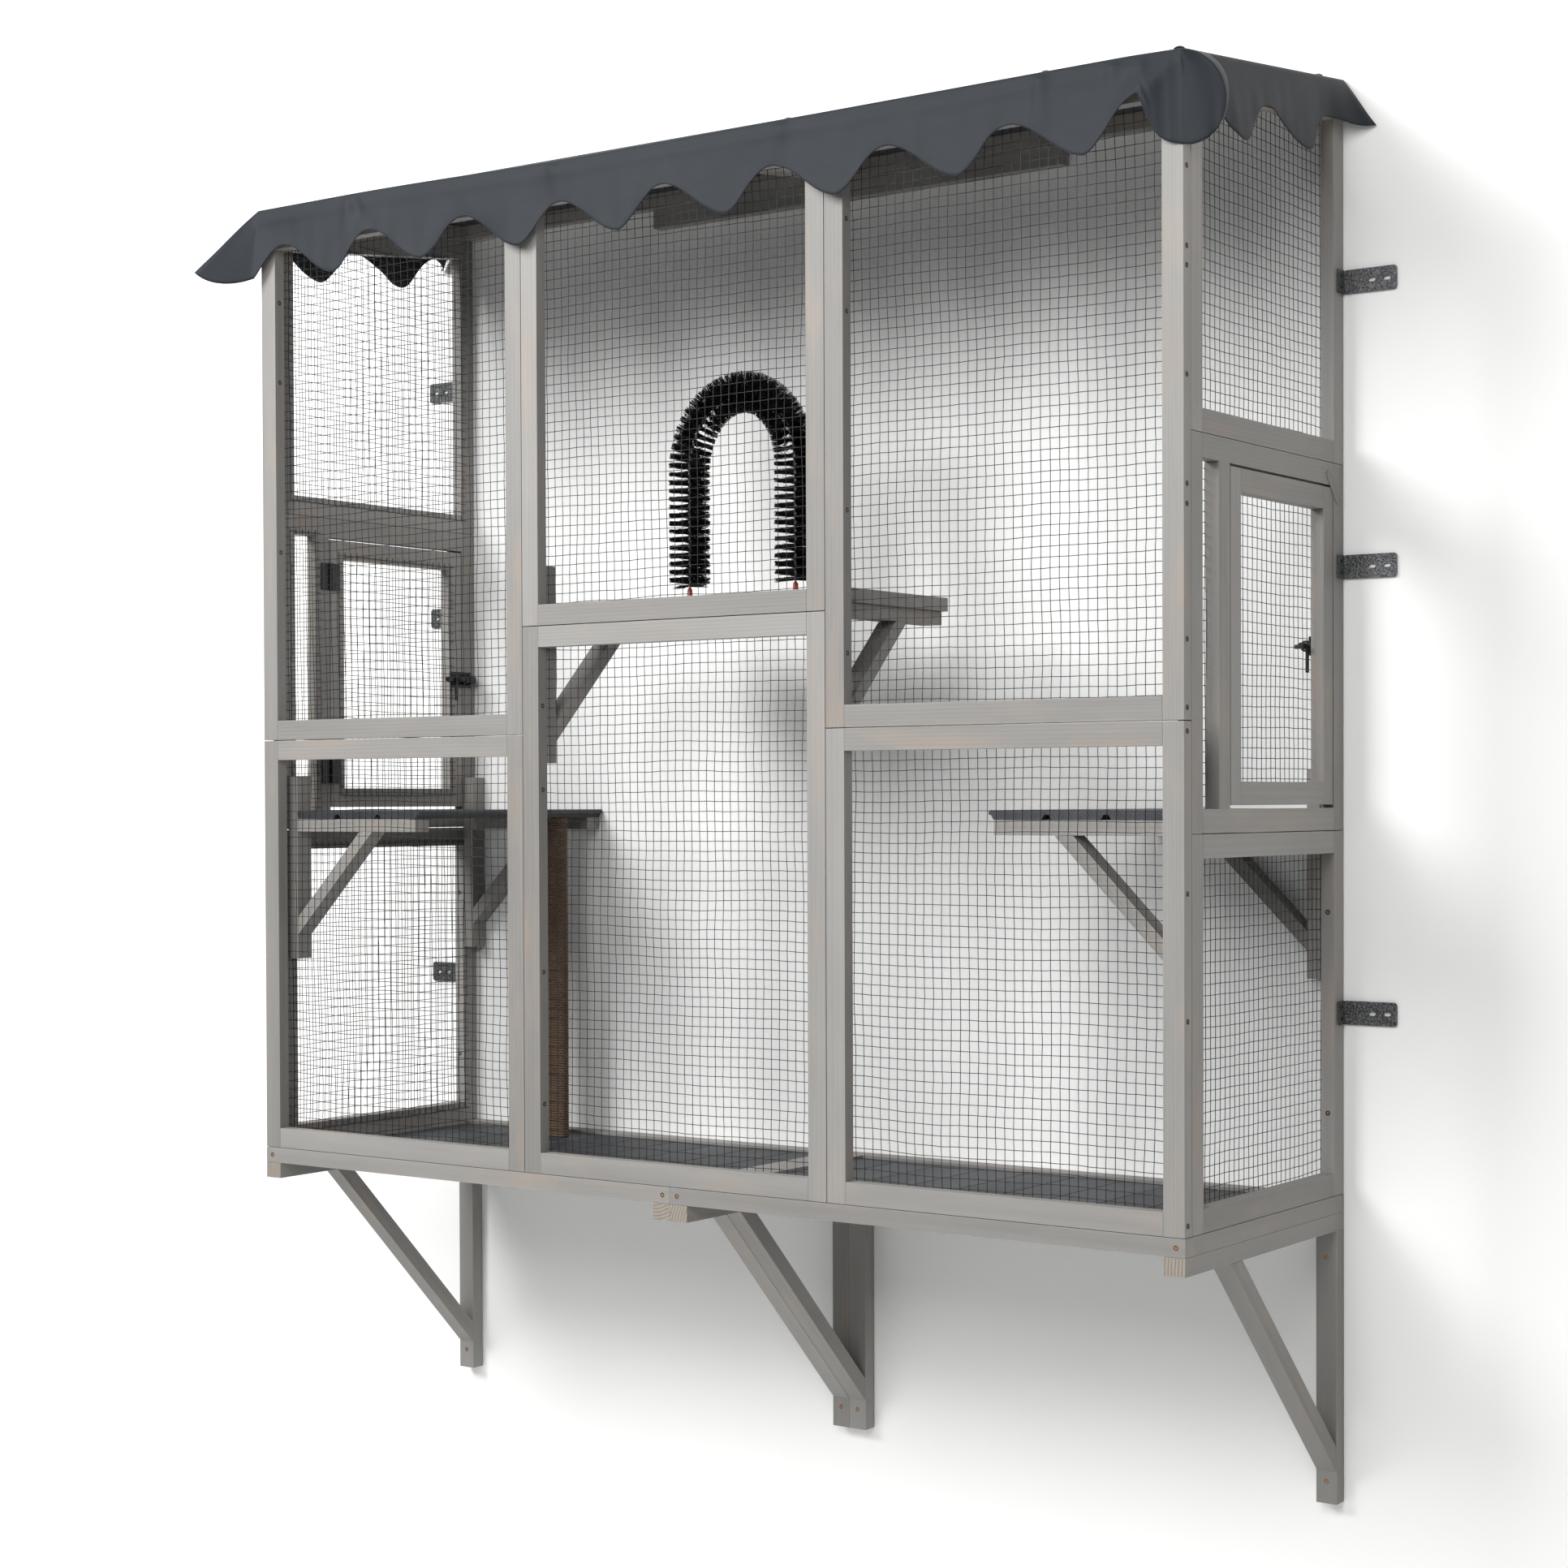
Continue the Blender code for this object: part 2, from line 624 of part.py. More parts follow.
def hinge(side, height, word, joint):
    """A butt hinge: the post's leaf with the pin, and the door's leaf that turns on it."""
    label = side_word(side) + "_" + word
    face = HALF_WIDE - GAP / 2 - BOARD_THICK
    leaf_x = side * (face - GAP - HINGE_LEAF_SET - HINGE_LEAF_THICK / 2)
    half = HINGE_TALL / 2
    middle = HINGE_TALL * HINGE_MIDDLE_SHARE / 2
    outer_tabs = [(-half, -middle), (middle, half)]
    post_far = HINGE_Y - HINGE_LEAF_WIDE
    post_leaf = side_plate("hinge_post_leaf_" + label,
                           [hinge_leaf_outline(post_far, outer_tabs, height)],
                           HINGE_LEAF_THICK, STEEL, leaf_x)
    for index, (low, high) in enumerate(outer_tabs):
        knuckle = cylinder("post_knuckle_" + label + str(index), HINGE_KNUCKLE_RADIUS,
                           high - low, (side * HINGE_X, HINGE_Y, height + (low + high) / 2),
                           "Z", STEEL, HINGE_SIDES)
        combine(post_leaf, knuckle, "UNION")
    pin = cylinder("pin_" + label, HINGE_PIN_RADIUS, HINGE_TALL - HINGE_PIN_RADIUS,
                   (side * HINGE_X, HINGE_Y, height), "Z", STEEL, HINGE_SIDES)
    combine(post_leaf, pin, "UNION")
    turn_half = middle - HINGE_JOINT_GAP
    door_far = HINGE_Y + HINGE_LEAF_WIDE
    door_leaf = side_plate("hinge_door_leaf_" + label,
                           [hinge_leaf_outline(door_far, [(-turn_half, turn_half)], height)],
                           HINGE_LEAF_THICK, STEEL, leaf_x)
    knuckle = cylinder("door_knuckle_" + label, HINGE_KNUCKLE_RADIUS, 2 * turn_half,
                       (side * HINGE_X, HINGE_Y, height), "Z", STEEL, HINGE_SIDES)
    combine(door_leaf, knuckle, "UNION")
    bore = cylinder("bore_" + label, HINGE_BORE_RADIUS, HINGE_TALL,
                    (side * HINGE_X, HINGE_Y, height), "Z", STEEL, HINGE_SIDES)
    combine(door_leaf, bore, "DIFFERENCE")
    hang_on(joint, door_leaf)


def bolt_axis_x(side):
    """Middle of the slide bolt, off the inner face of door and stile."""
    face = HALF_WIDE - GAP / 2 - BOARD_THICK
    return side * (face - BOLT_OFF_FACE)


def hoop_outline(side, face_offset, clearance):
    """A strap round the bolt in X and Z, foot on the plate and round over the bolt."""
    center_x = bolt_axis_x(side)
    inner = BOLT_RADIUS + clearance
    outer = inner + LATCH_HOOP_WALL
    face = HALF_WIDE - GAP / 2 - BOARD_THICK
    foot_x = side * (face - face_offset)
    start = 90 if side == RIGHT else -90
    outline = arc(center_x, DOOR_MIDDLE, outer, start, start + 180, 2 * CURVE_STEPS)
    outline += [(foot_x, outline[-1][1]), (foot_x, outline[0][1])]
    hole = arc(center_x, DOOR_MIDDLE, inner, 0, 360, BOLT_SIDES)[:-1]
    return [outline, hole]


def strap_and_plate(name, side, seat, low_y, high_y, hoops, clearance):
    """A latch plate at its seat off the face, with straps over the bolt."""
    face = HALF_WIDE - GAP / 2 - BOARD_THICK
    plate_x = side * (face - seat - LATCH_PLATE_THICK / 2)
    half = LATCH_TALL / 2
    plate = side_plate(name, [rectangle(low_y, DOOR_MIDDLE - half, high_y, DOOR_MIDDLE + half)],
                       LATCH_PLATE_THICK, STEEL, plate_x)
    foot = seat + LATCH_PLATE_THICK - EMBED
    for index, (hoop_low, hoop_high) in enumerate(hoops):
        outlines = hoop_outline(side, foot, clearance)
        strap = front_plate(name + "_strap" + str(index), outlines, hoop_high - hoop_low,
                            STEEL, (hoop_low + hoop_high) / 2)
        combine(plate, strap, "UNION")
    return plate


def latch(side, joint):
    """A slide bolt on the door's inner face and its keeper on the rear stile."""
    word = side_word(side)
    plate_low = DOOR_REAR_Y - BOARD_WIDE + LATCH_EDGE
    plate_high = DOOR_REAR_Y - LATCH_EDGE
    hoops = [(plate_low + LATCH_EDGE, plate_low + LATCH_EDGE + LATCH_HOOP_DEEP),
             (plate_high - LATCH_EDGE - LATCH_HOOP_DEEP, plate_high - LATCH_EDGE)]
    plate = strap_and_plate("latch_plate_" + word, side, FACE_SEAT, plate_low, plate_high,
                            hoops, BOLT_CLEARANCE)
    hang_on(joint, plate)
    keeper_low = DOORWAY_REAR_Y + LATCH_EDGE
    keeper_middle = keeper_low + KEEPER_WIDE / 2
    half_hoop = KEEPER_HOOP_DEEP / 2
    strap_and_plate("latch_keeper_" + word, side, GAP, keeper_low, keeper_low + KEEPER_WIDE,
                    [(keeper_middle - half_hoop, keeper_middle + half_hoop)],
                    KEEPER_CLEARANCE)
    axis_x = bolt_axis_x(side)
    handle_low = hoops[0][1] + BOLT_CLEARANCE
    handle_middle = handle_low + BOLT_HANDLE_WIDE / 2
    tail_y = hoops[0][0] - BOLT_TAIL
    tip_y = DOOR_REAR_Y + LATCH_EDGE
    bolt = cylinder("latch_bolt_" + word, BOLT_RADIUS, tip_y - tail_y,
                    (axis_x, (tip_y + tail_y) / 2, DOOR_MIDDLE), "Y", STEEL, BOLT_SIDES)
    half_wide = BOLT_HANDLE_WIDE / 2
    half_thick = BOLT_HANDLE_THICK / 2
    handle = box("bolt_handle_" + word,
                 (axis_x - half_thick, handle_middle - half_wide, DOOR_MIDDLE - BOLT_HANDLE_DROP),
                 (axis_x + half_thick, handle_middle + half_wide, DOOR_MIDDLE), STEEL)
    combine(bolt, handle, "UNION")
    knob = cylinder("bolt_knob_" + word, BOLT_KNOB_RADIUS, BOLT_KNOB_REACH,
                    (axis_x - side * BOLT_KNOB_REACH / 2, handle_middle, DOOR_MIDDLE), "X",
                    STEEL, HINGE_SIDES)
    combine(bolt, knob, "UNION")
    hang_on(joint, bolt)


def build_sides():
    """Both sides with their panels, doors, hinges and latches."""
    for side in (LEFT, RIGHT):
        side_panel_lower(side)
        side_panel_upper(side)
        door_frame(side)
        joint = hinge_joint(side)
        door(side, joint)
        hinge(side, DOOR_LOW + HINGE_FROM_END, "lower", joint)
        hinge(side, DOOR_HIGH - HINGE_FROM_END, "upper", joint)
        latch(side, joint)


def half_outline(side):
    """Outer and inner rectangle of a floor or roof half, in X and Y."""
    low_x = GAP / 2 if side == RIGHT else -HALF_WIDE
    high_x = HALF_WIDE if side == RIGHT else -GAP / 2
    return (low_x, FRONT_Y, high_x, 0.0)


def inset(corners, amount):
    """A rectangle drawn in by an amount on every side."""
    low_u, low_v, high_u, high_v = corners
    return (low_u + amount, low_v + amount, high_u - amount, high_v - amount)


def grooved_outline(length, thickness, low_u, top_v):
    """The end of a boarded panel: planks side by side with a groove at each joint."""
    count = max(1, round(length / PLANK_WIDE))
    wide = length / count
    low_v = top_v - thickness
    top_deep = thickness * GROOVE_TOP_DEEP_SHARE
    bottom_deep = thickness * GROOVE_BOTTOM_DEEP_SHARE
    top = []
    bottom = []
    for index in range(1, count):
        middle = low_u + index * wide
        top += [(middle - GROOVE_TOP_WIDE / 2, top_v), (middle, top_v - top_deep),
                (middle + GROOVE_TOP_WIDE / 2, top_v)]
        bottom += [(middle - GROOVE_BOTTOM_WIDE / 2, low_v),
                   (middle - GROOVE_INNER_WIDE / 2, low_v + bottom_deep),
                   (middle + GROOVE_INNER_WIDE / 2, low_v + bottom_deep),
                   (middle + GROOVE_BOTTOM_WIDE / 2, low_v)]
    outline = [(low_u, low_v)] + bottom + [(low_u + length, low_v), (low_u + length, top_v)]
    outline += list(reversed(top)) + [(low_u, top_v)]
    return outline


def build_floor():
    """Two floor frames side by side, each with a boarded floor in its rebate."""
    for side in (LEFT, RIGHT):
        word = side_word(side)
        outer = half_outline(side)
        window = inset(outer, BOARD_WIDE)
        frame = flat_plate("base_frame_" + word, [rectangle(*outer), rectangle(*window)],
                           BASE_TALL, WOOD, -BASE_TALL / 2)
        seat = inset(window, -FLOOR_REBATE)
        rebate_deep = FLOOR_SET_DOWN + FLOOR_THICK + GAP
        rebate = box("floor_rebate_" + word, (seat[0], seat[1], -rebate_deep),
                     (seat[2], seat[3], CUT_OVERRUN), WOOD)
        combine(frame, rebate, "DIFFERENCE")
        low_x, low_y, high_x, high_y = inset(seat, GAP)
        planks = grooved_outline(high_x - low_x, FLOOR_THICK, low_x, FLOOR_TOP)
        front_plate("floor_" + word, [planks], high_y - low_y, FLOOR_PAINT,
                    (low_y + high_y) / 2)


def bracket_outlines(reach, post_low, post_high, post_thick, arm_thick, brace_out,
                     brace_thick, angle):
    """A triangular bracket in u from its post's back and v up from its arm's top."""
    slope = math.tan(angle)
    brace_in = brace_out - brace_thick / math.sin(angle)
    foot_out = -arm_thick - (brace_out - post_thick) * slope
    foot_in = -arm_thick - (brace_in - post_thick) * slope
    outer = [(0.0, post_low), (post_thick, post_low), (post_thick, foot_out),
             (brace_out, -arm_thick), (reach, -arm_thick), (reach, 0.0)]
    if post_high > 0.0:
        outer += [(post_thick, 0.0), (post_thick, post_high)]
    outer += [(0.0, post_high)]
    hole = [(post_thick, -arm_thick), (post_thick, foot_in), (brace_in, -arm_thick)]
    return [outer, hole]


def build_braces():
    """Four braces under the floor, against the wall: one at each end, two in the middle."""
    places = {
        "wall_brace_left": -HALF_WIDE,
        "wall_brace_middle_left": -BOARD_WIDE - GAP / 2,
        "wall_brace_middle_right": GAP / 2,
        "wall_brace_right": HALF_WIDE - BOARD_WIDE,
    }
    top = -BASE_TALL - GAP
    outlines = bracket_outlines(DEPTH, -BRACE_DROP - top, 0.0, BRACE_BOARD_THICK,
                                BRACE_BOARD_THICK, DEPTH - BRACE_REACH_SETBACK,
                                BRACE_BOARD_THICK, math.radians(BRACE_ANGLE_DEGREES))
    turned = [[(-u, top + v) for u, v in outline] for outline in outlines]
    for name, low_x in places.items():
        side_plate(name, turned, BOARD_WIDE, WOOD, low_x + BOARD_WIDE / 2)


def shelf_bracket_outlines(shelf_thick):
    """A shelf bracket whose arm carries a board of the given thickness."""
    arm_top = -shelf_thick - GAP
    outlines = bracket_outlines(BRACKET_REACH, -BRACKET_BELOW_SHELF - arm_top,
                                BRACKET_ABOVE_SHELF - arm_top, BOARD_THICK, BOARD_THICK,
                                BRACKET_BRACE_OUT, BOARD_THICK,
                                math.radians(BRACKET_ANGLE_DEGREES))
    return [[(u, arm_top + v) for u, v in outline] for outline in outlines]


def side_shelf(side):
    """A boarded shelf along a side, on two brackets screwed to the side panels."""
    word = side_word(side)
    wall = SIDE_INNER_X - GAP / 2 - FACE_SEAT
    start = wall - BOARD_THICK - GAP
    board_long = SHELF_DEEP - BOARD_THICK
    low_x = start - board_long if side == RIGHT else -start
    planks = grooved_outline(board_long, SIDE_SHELF_THICK, low_x, SIDE_SHELF_HIGH)
    board_rear = -GAP
    front_plate("shelf_" + word, [planks], board_rear - SHELF_FRONT_Y, FLOOR_PAINT,
                (board_rear + SHELF_FRONT_Y) / 2)
    outlines = shelf_bracket_outlines(SIDE_SHELF_THICK)
    placed = [[(side * (wall - u), SIDE_SHELF_HIGH + v) for u, v in outline]
              for outline in outlines]
    front_plate("shelf_bracket_" + word + "_front", placed, BOARD_WIDE, WOOD,
                SHELF_FRONT_Y + BOARD_WIDE / 2)
    front_plate("shelf_bracket_" + word + "_rear", placed, BOARD_WIDE, WOOD,
                -BOARD_WIDE / 2)


def middle_shelf():
    """The high shelf behind the middle column, on two brackets on its stiles."""
    half = COLUMN_WIDE / 2 - GAP
    wall = FRONT_BACK_Y + FACE_SEAT
    board_low = wall + BOARD_THICK + GAP
    board_long = SHELF_DEEP - BOARD_THICK
    planks = grooved_outline(board_long, MIDDLE_SHELF_THICK, board_low, MIDDLE_SHELF_HIGH)
    side_plate("shelf_middle", [planks], COLUMN_WIDE + 2 * MIDDLE_SHELF_LAP, WOOD, 0.0)
    outlines = shelf_bracket_outlines(MIDDLE_SHELF_THICK)
    placed = [[(wall + u, MIDDLE_SHELF_HIGH + v) for u, v in outline] for outline in outlines]
    for side in (LEFT, RIGHT):
        side_plate("shelf_bracket_middle_" + side_word(side), placed, BOARD_WIDE, WOOD,
                   side * (half - BOARD_WIDE / 2))


def build_shelves():
    """Three shelves and their six brackets."""
    side_shelf(LEFT)
    side_shelf(RIGHT)
    middle_shelf()


def build_scratch_post():
    """A flat board wound with sisal rope, from the floor to the left shelf."""
    shelf_edge = -(SIDE_INNER_X - GAP / 2 - FACE_SEAT) + SHELF_DEEP
    high_x = shelf_edge - POST_FROM_SHELF_EDGE
    center_x = high_x - POST_WIDE / 2
    center_y = -POST_FROM_WALL - POST_DEEP / 2
    low_z = FLOOR_TOP + GAP
    high_z = SIDE_SHELF_HIGH - SIDE_SHELF_THICK - GAP
    section = bpy.data.curves.new("post_section", "CURVE")
    section.dimensions = "2D"
    ring = section.splines.new("POLY")
    corners = rounded_rectangle(-POST_WIDE / 2, -POST_DEEP / 2, POST_WIDE / 2, POST_DEEP / 2,
                                POST_CORNER_RADIUS, 1)
    ring.points.add(len(corners) - 1)
    for point, place in zip(ring.points, corners):
        point.co = (place[0], place[1], 0.0, 1.0)
    ring.use_cyclic_u = True
    section_object = bpy.data.objects.new("post_section", section)
    hide_link(section_object)
    path = bpy.data.curves.new("scratch_post", "CURVE")
    path.dimensions = "3D"
    path.bevel_mode = "OBJECT"
    path.bevel_object = section_object
    path.use_fill_caps = True
    line = path.splines.new("POLY")
    line.points.add(2 * POST_TURNS)
    turn = (high_z - low_z) / POST_TURNS
    for index in range(2 * POST_TURNS + 1):
        line.points[index].co = (center_x, center_y, low_z + index * turn / 2, 1.0)
        line.points[index].radius = 1.0 if index % 2 else POST_ROPE_SHARE
        line.points[index].tilt = 0.0
    mesh = mesh_from_curve(path, "scratch_post")
    add_object("scratch_post", mesh, SISAL)
    bpy.data.objects.remove(section_object, do_unlink=True)


def hide_link(item):
    """Link a helper to the cutters so that it can be read, and hide it."""
    CUTTERS.objects.link(item)
    item.hide_render = True
    item.display_type = "WIRE"


def brush_bend_point(angle):
    """A point of the brush's bend and the bend's direction, in X and Z."""
    x = -BRUSH_HALF_SPAN * math.cos(angle)
    z = BRUSH_BEND_RISE * math.sin(angle)
    along = Vector((BRUSH_HALF_SPAN * math.sin(angle), 0.0, BRUSH_BEND_RISE * math.cos(angle)))
    return Vector((x, 0.0, z)), along.normalized()


def strand_mesh(name, rows):
    """Pointed strands in rows: each row has a centre, a direction and its own turn."""
    shape = bmesh.new()
    length = BRUSH_RADIUS - BRUSH_CORE_RADIUS / 2
    for center, along, count, turn in rows:
        across = Vector((0.0, 1.0, 0.0))
        other = along.cross(across)
        for index in range(count):
            angle = turn + 2 * math.pi * index / count
            out = across * math.cos(angle) + other * math.sin(angle)
            base = center + out * BRUSH_CORE_RADIUS / 2
            frame = out.to_track_quat("Z", "Y").to_matrix().to_4x4()
            place = Matrix.Translation(base + out * length / 2) @ frame
            bmesh.ops.create_cone(shape, cap_ends=True, segments=3,
                                  radius1=BRUSH_STRAND_RADIUS, radius2=0.0, depth=length,
                                  matrix=place)
    bmesh.ops.remove_doubles(shape, verts=shape.verts, dist=MERGE_DISTANCE)
    bmesh.ops.recalc_face_normals(shape, faces=shape.faces)
    mesh = bpy.data.meshes.new(name)
    shape.to_mesh(mesh)
    shape.free()
    return mesh


def brush_slice(name, path, rows, offset):
    """A length of the brush: its core with the strands fused to it."""
    curve = bpy.data.curves.new(name, "CURVE")
    curve.dimensions = "3D"
    curve.bevel_depth = BRUSH_CORE_RADIUS
    curve.bevel_resolution = 1
    curve.use_fill_caps = True
    line = curve.splines.new("POLY")
    line.points.add(len(path) - 1)
    for point, place in zip(line.points, path):
        point.co = (*place, 1.0)
    core = add_object(name, mesh_from_curve(curve, name), BRISTLE)
    core.location = offset
    strands = add_object(name + "_strands", strand_mesh(name + "_strands", rows), BRISTLE)
    strands.location = offset
    combine(core, strands, "UNION")


def build_brush_arch():
    """The grooming arch on the middle shelf, in four slices."""
    foot = Vector((0.0, FRONT_Y + BRUSH_BEHIND_FRONT, MIDDLE_SHELF_HIGH + GAP))
    twist = math.radians(BRUSH_TWIST_DEGREES)
    leg_rows = int((BRUSH_LEG - BRUSH_FIRST_ROW) / BRUSH_ROW_PITCH) + 1
    for side in (LEFT, RIGHT):
        word = side_word(side)
        x = side * BRUSH_HALF_SPAN
        rows = []
        for index in range(leg_rows):
            z = BRUSH_FIRST_ROW + index * BRUSH_ROW_PITCH
            rows.append((Vector((x, 0.0, z)), Vector((0.0, 0.0, 1.0)), BRUSH_LEG_STRANDS,
                         index * twist))
        top = BRUSH_LEG - GAP / 2
        brush_slice("brush_arch_" + word + "_leg", [(x, 0.0, 0.0), (x, 0.0, top)], rows, foot)
        rows = []
        start = 0.0 if side == LEFT else math.pi / 2
        first, first_way = brush_bend_point(start)
        last, last_way = brush_bend_point(start + math.pi / 2)
        path = [first + first_way * GAP / 2, first + first_way * BRUSH_LEAD]
        for index in range(1, BRUSH_BEND_STEPS):
            angle = start + math.pi / 2 * index / BRUSH_BEND_STEPS
            path.append(brush_bend_point(angle)[0])
        path += [last - last_way * BRUSH_LEAD, last - last_way * GAP / 2]
        for index in range(BRUSH_BEND_ROWS):
            angle = start + math.pi / 2 * (index + 0.5) / BRUSH_BEND_ROWS
            center, along = brush_bend_point(angle)
            rows.append((center, along, BRUSH_BEND_STRANDS, index * twist))
        spring = foot + Vector((0.0, 0.0, BRUSH_LEG))
        brush_slice("brush_arch_" + word + "_bend", path, rows, spring)


def wall_angle(side, height, word):
    """A steel angle: a short leaf on the rear stile and a long slotted leaf on the wall."""
    name = "wall_angle_" + side_word(side) + "_" + word
    outer_x = HALF_WIDE + GAP
    half = ANGLE_TALL / 2
    near = min(side * outer_x, side * (outer_x + ANGLE_LONG))
    far = max(side * outer_x, side * (outer_x + ANGLE_LONG))
    outlines = [rounded_rectangle(near, height - half, far, height + half,
                                  ANGLE_CORNER_RADIUS, 3)]
    for index in range(2):
        slot_x = side * (outer_x + ANGLE_SLOT_FIRST + index * ANGLE_SLOT_SPACING)
        outlines.append(slot_outline(slot_x, height, ANGLE_SLOT_LONG, ANGLE_SLOT_WIDE,
                                     SLOT_END_STEPS))
    leaf = front_plate(name, outlines, ANGLE_THICK, STEEL, -ANGLE_THICK / 2)
    short = [rounded_rectangle(-ANGLE_SHORT, height - half, -EMBED, height + half,
                               ANGLE_CORNER_RADIUS / 2, 2)]
    for sign in (-1, 1):
        hole = arc(-ANGLE_SHORT / 2, height + sign * ANGLE_SCREW_SPACING / 2,
                   ANGLE_SCREW_RADIUS, 0, 360, 8)[:-1]
        short.append(hole)
    inner_leaf = side_plate(name + "_short", short, ANGLE_THICK - EMBED, STEEL,
                            side * (outer_x + (ANGLE_THICK + EMBED) / 2))
    combine(leaf, inner_leaf, "UNION")


def build_wall_angles():
    """Three steel angles on each side."""
    for side in (LEFT, RIGHT):
        wall_angle(side, ANGLE_LOW, "lower")
        wall_angle(side, ANGLE_MIDDLE, "middle")
        wall_angle(side, ANGLE_HIGH, "upper")


def slope_place():
    """The place of anything laid out flat from the roof's front edge and then tilted."""
    front_low = Matrix.Translation((0.0, FRONT_Y, FRONT_TALL + GAP))
    return front_low @ Matrix.Rotation(ROOF_SLOPE, 4, "X")


def build_roof_frames():
    """Two sloping roof frames side by side, joined by a batten at the rear."""
    slope_long = DEPTH / math.cos(ROOF_SLOPE)
    for side in (LEFT, RIGHT):
        low_x, _, high_x, _ = half_outline(side)
        outer = (low_x, 0.0, high_x, slope_long)
        outlines = [rectangle(*outer), rectangle(*inset(outer, BOARD_WIDE))]
        name = "roof_frame_" + side_word(side)
        frame = add_object(name, plate_mesh(name, outlines, ROOF_TALL), WOOD)
        frame.matrix_world = slope_place() @ Matrix.Translation((0.0, 0.0, ROOF_TALL / 2))
    top = roof_under(-BOARD_THICK) - GAP
    box("roof_batten", (-BATTEN_LONG / 2, -BOARD_THICK, top - BOARD_WIDE),
        (BATTEN_LONG / 2, 0.0, top), WOOD)


def hang_direction(out, degrees):
    """A unit vector that hangs down and leans outwards by an angle."""
    lean = math.radians(degrees)
    return out * math.sin(lean) + Vector((0.0, 0.0, -math.cos(lean)))


def scallop_length(distance):
    """How far the cover hangs at a distance from a corner along an edge."""
    first_cut = (2 * HALF_WIDE - COVER_FRONT_LOBES * COVER_PERIOD) / 2
    phase = 2 * math.pi * (distance - first_cut) / COVER_PERIOD
    rise = ((1 + math.cos(phase)) / 2) ** COVER_CUT_SHARE
    return COVER_LOBE - (COVER_LOBE - COVER_CUT) * rise


def scallop_lift(distance):
    """How far the cover leans out at a distance from a corner along an edge."""
    first_cut = (2 * HALF_WIDE - COVER_FRONT_LOBES * COVER_PERIOD) / 2
    phase = 2 * math.pi * (distance - first_cut) / COVER_PERIOD
    return COVER_HANG_DEGREES + COVER_LOBE_LIFT_DEGREES * (1 - math.cos(phase)) / 2


def front_distances():
    """Distances from the left corner along the front hem, even about cuts and lobes."""
    first_cut = (2 * HALF_WIDE - COVER_FRONT_LOBES * COVER_PERIOD) / 2
    step = COVER_PERIOD / COVER_LOBE_STEPS
    whole = 2 * (HALF_WIDE + COVER_EDGE)
    count = round(whole / step) + 2
    inner = [first_cut + COVER_EDGE + (index - 1.5) * step for index in range(count)]
    return [0.0] + [place for place in inner if step / 2 < place < whole - step / 2] + [whole]


def cover_stations():
    """Edge points of the cover, each with the way it hangs and how far."""
    stations = []
    half = HALF_WIDE + COVER_EDGE
    slope_long = DEPTH / math.cos(ROOF_SLOPE) + COVER_EDGE
    side_out = {LEFT: Vector((-1.0, 0.0, 0.0)), RIGHT: Vector((1.0, 0.0, 0.0))}
    front_out = Vector((0.0, -1.0, 0.0))
    for side in (LEFT, RIGHT):
        steps = []
        for index in range(COVER_SIDE_STEPS + 1):
            distance = slope_long * (1 - index / COVER_SIDE_STEPS)
            from_rear = slope_long - distance
            lean = scallop_lift(distance)
            lean += COVER_REAR_LIFT_DEGREES * max(0.0, 1 - from_rear / COVER_REAR_FLARE) ** 2
            lean += COVER_CORNER_LIFT_DEGREES * max(0.0, 1 - distance / COVER_CORNER_FLARE) ** 2
            steps.append((Vector((side * half, distance - COVER_EDGE, 0.0)),
                          hang_direction(side_out[side], lean),
                          scallop_length(distance) * COVER_SIDE_SHARE))
        corner = []
        edge, near, near_reach = steps[-1]
        far = hang_direction(front_out, scallop_lift(0.0))
        ridge_lift = COVER_LEFT_LIFT_DEGREES if side == LEFT else COVER_RIGHT_LIFT_DEGREES
        ridge = hang_direction((side_out[side] + front_out).normalized(), ridge_lift)
        for index in range(1, COVER_CORNER_STEPS):
            share = index / COVER_CORNER_STEPS
            if share <= 0.5:
                way = near.slerp(ridge, 2 * share)
            else:
                way = ridge.slerp(far, 2 * share - 1)
            reach = near_reach + (scallop_length(0.0) - near_reach) * share
            reach += (COVER_CORNER_LOBE - reach) * math.sin(math.pi * share)
            corner.append((edge, way, reach))
        if side == LEFT:
            stations += steps + corner
            for distance in front_distances():
                stations.append((Vector((distance - half, -COVER_EDGE, 0.0)),
                                 hang_direction(front_out, scallop_lift(distance)),
                                 scallop_length(distance)))
        else:
            stations += list(reversed(corner)) + list(reversed(steps))
    return stations


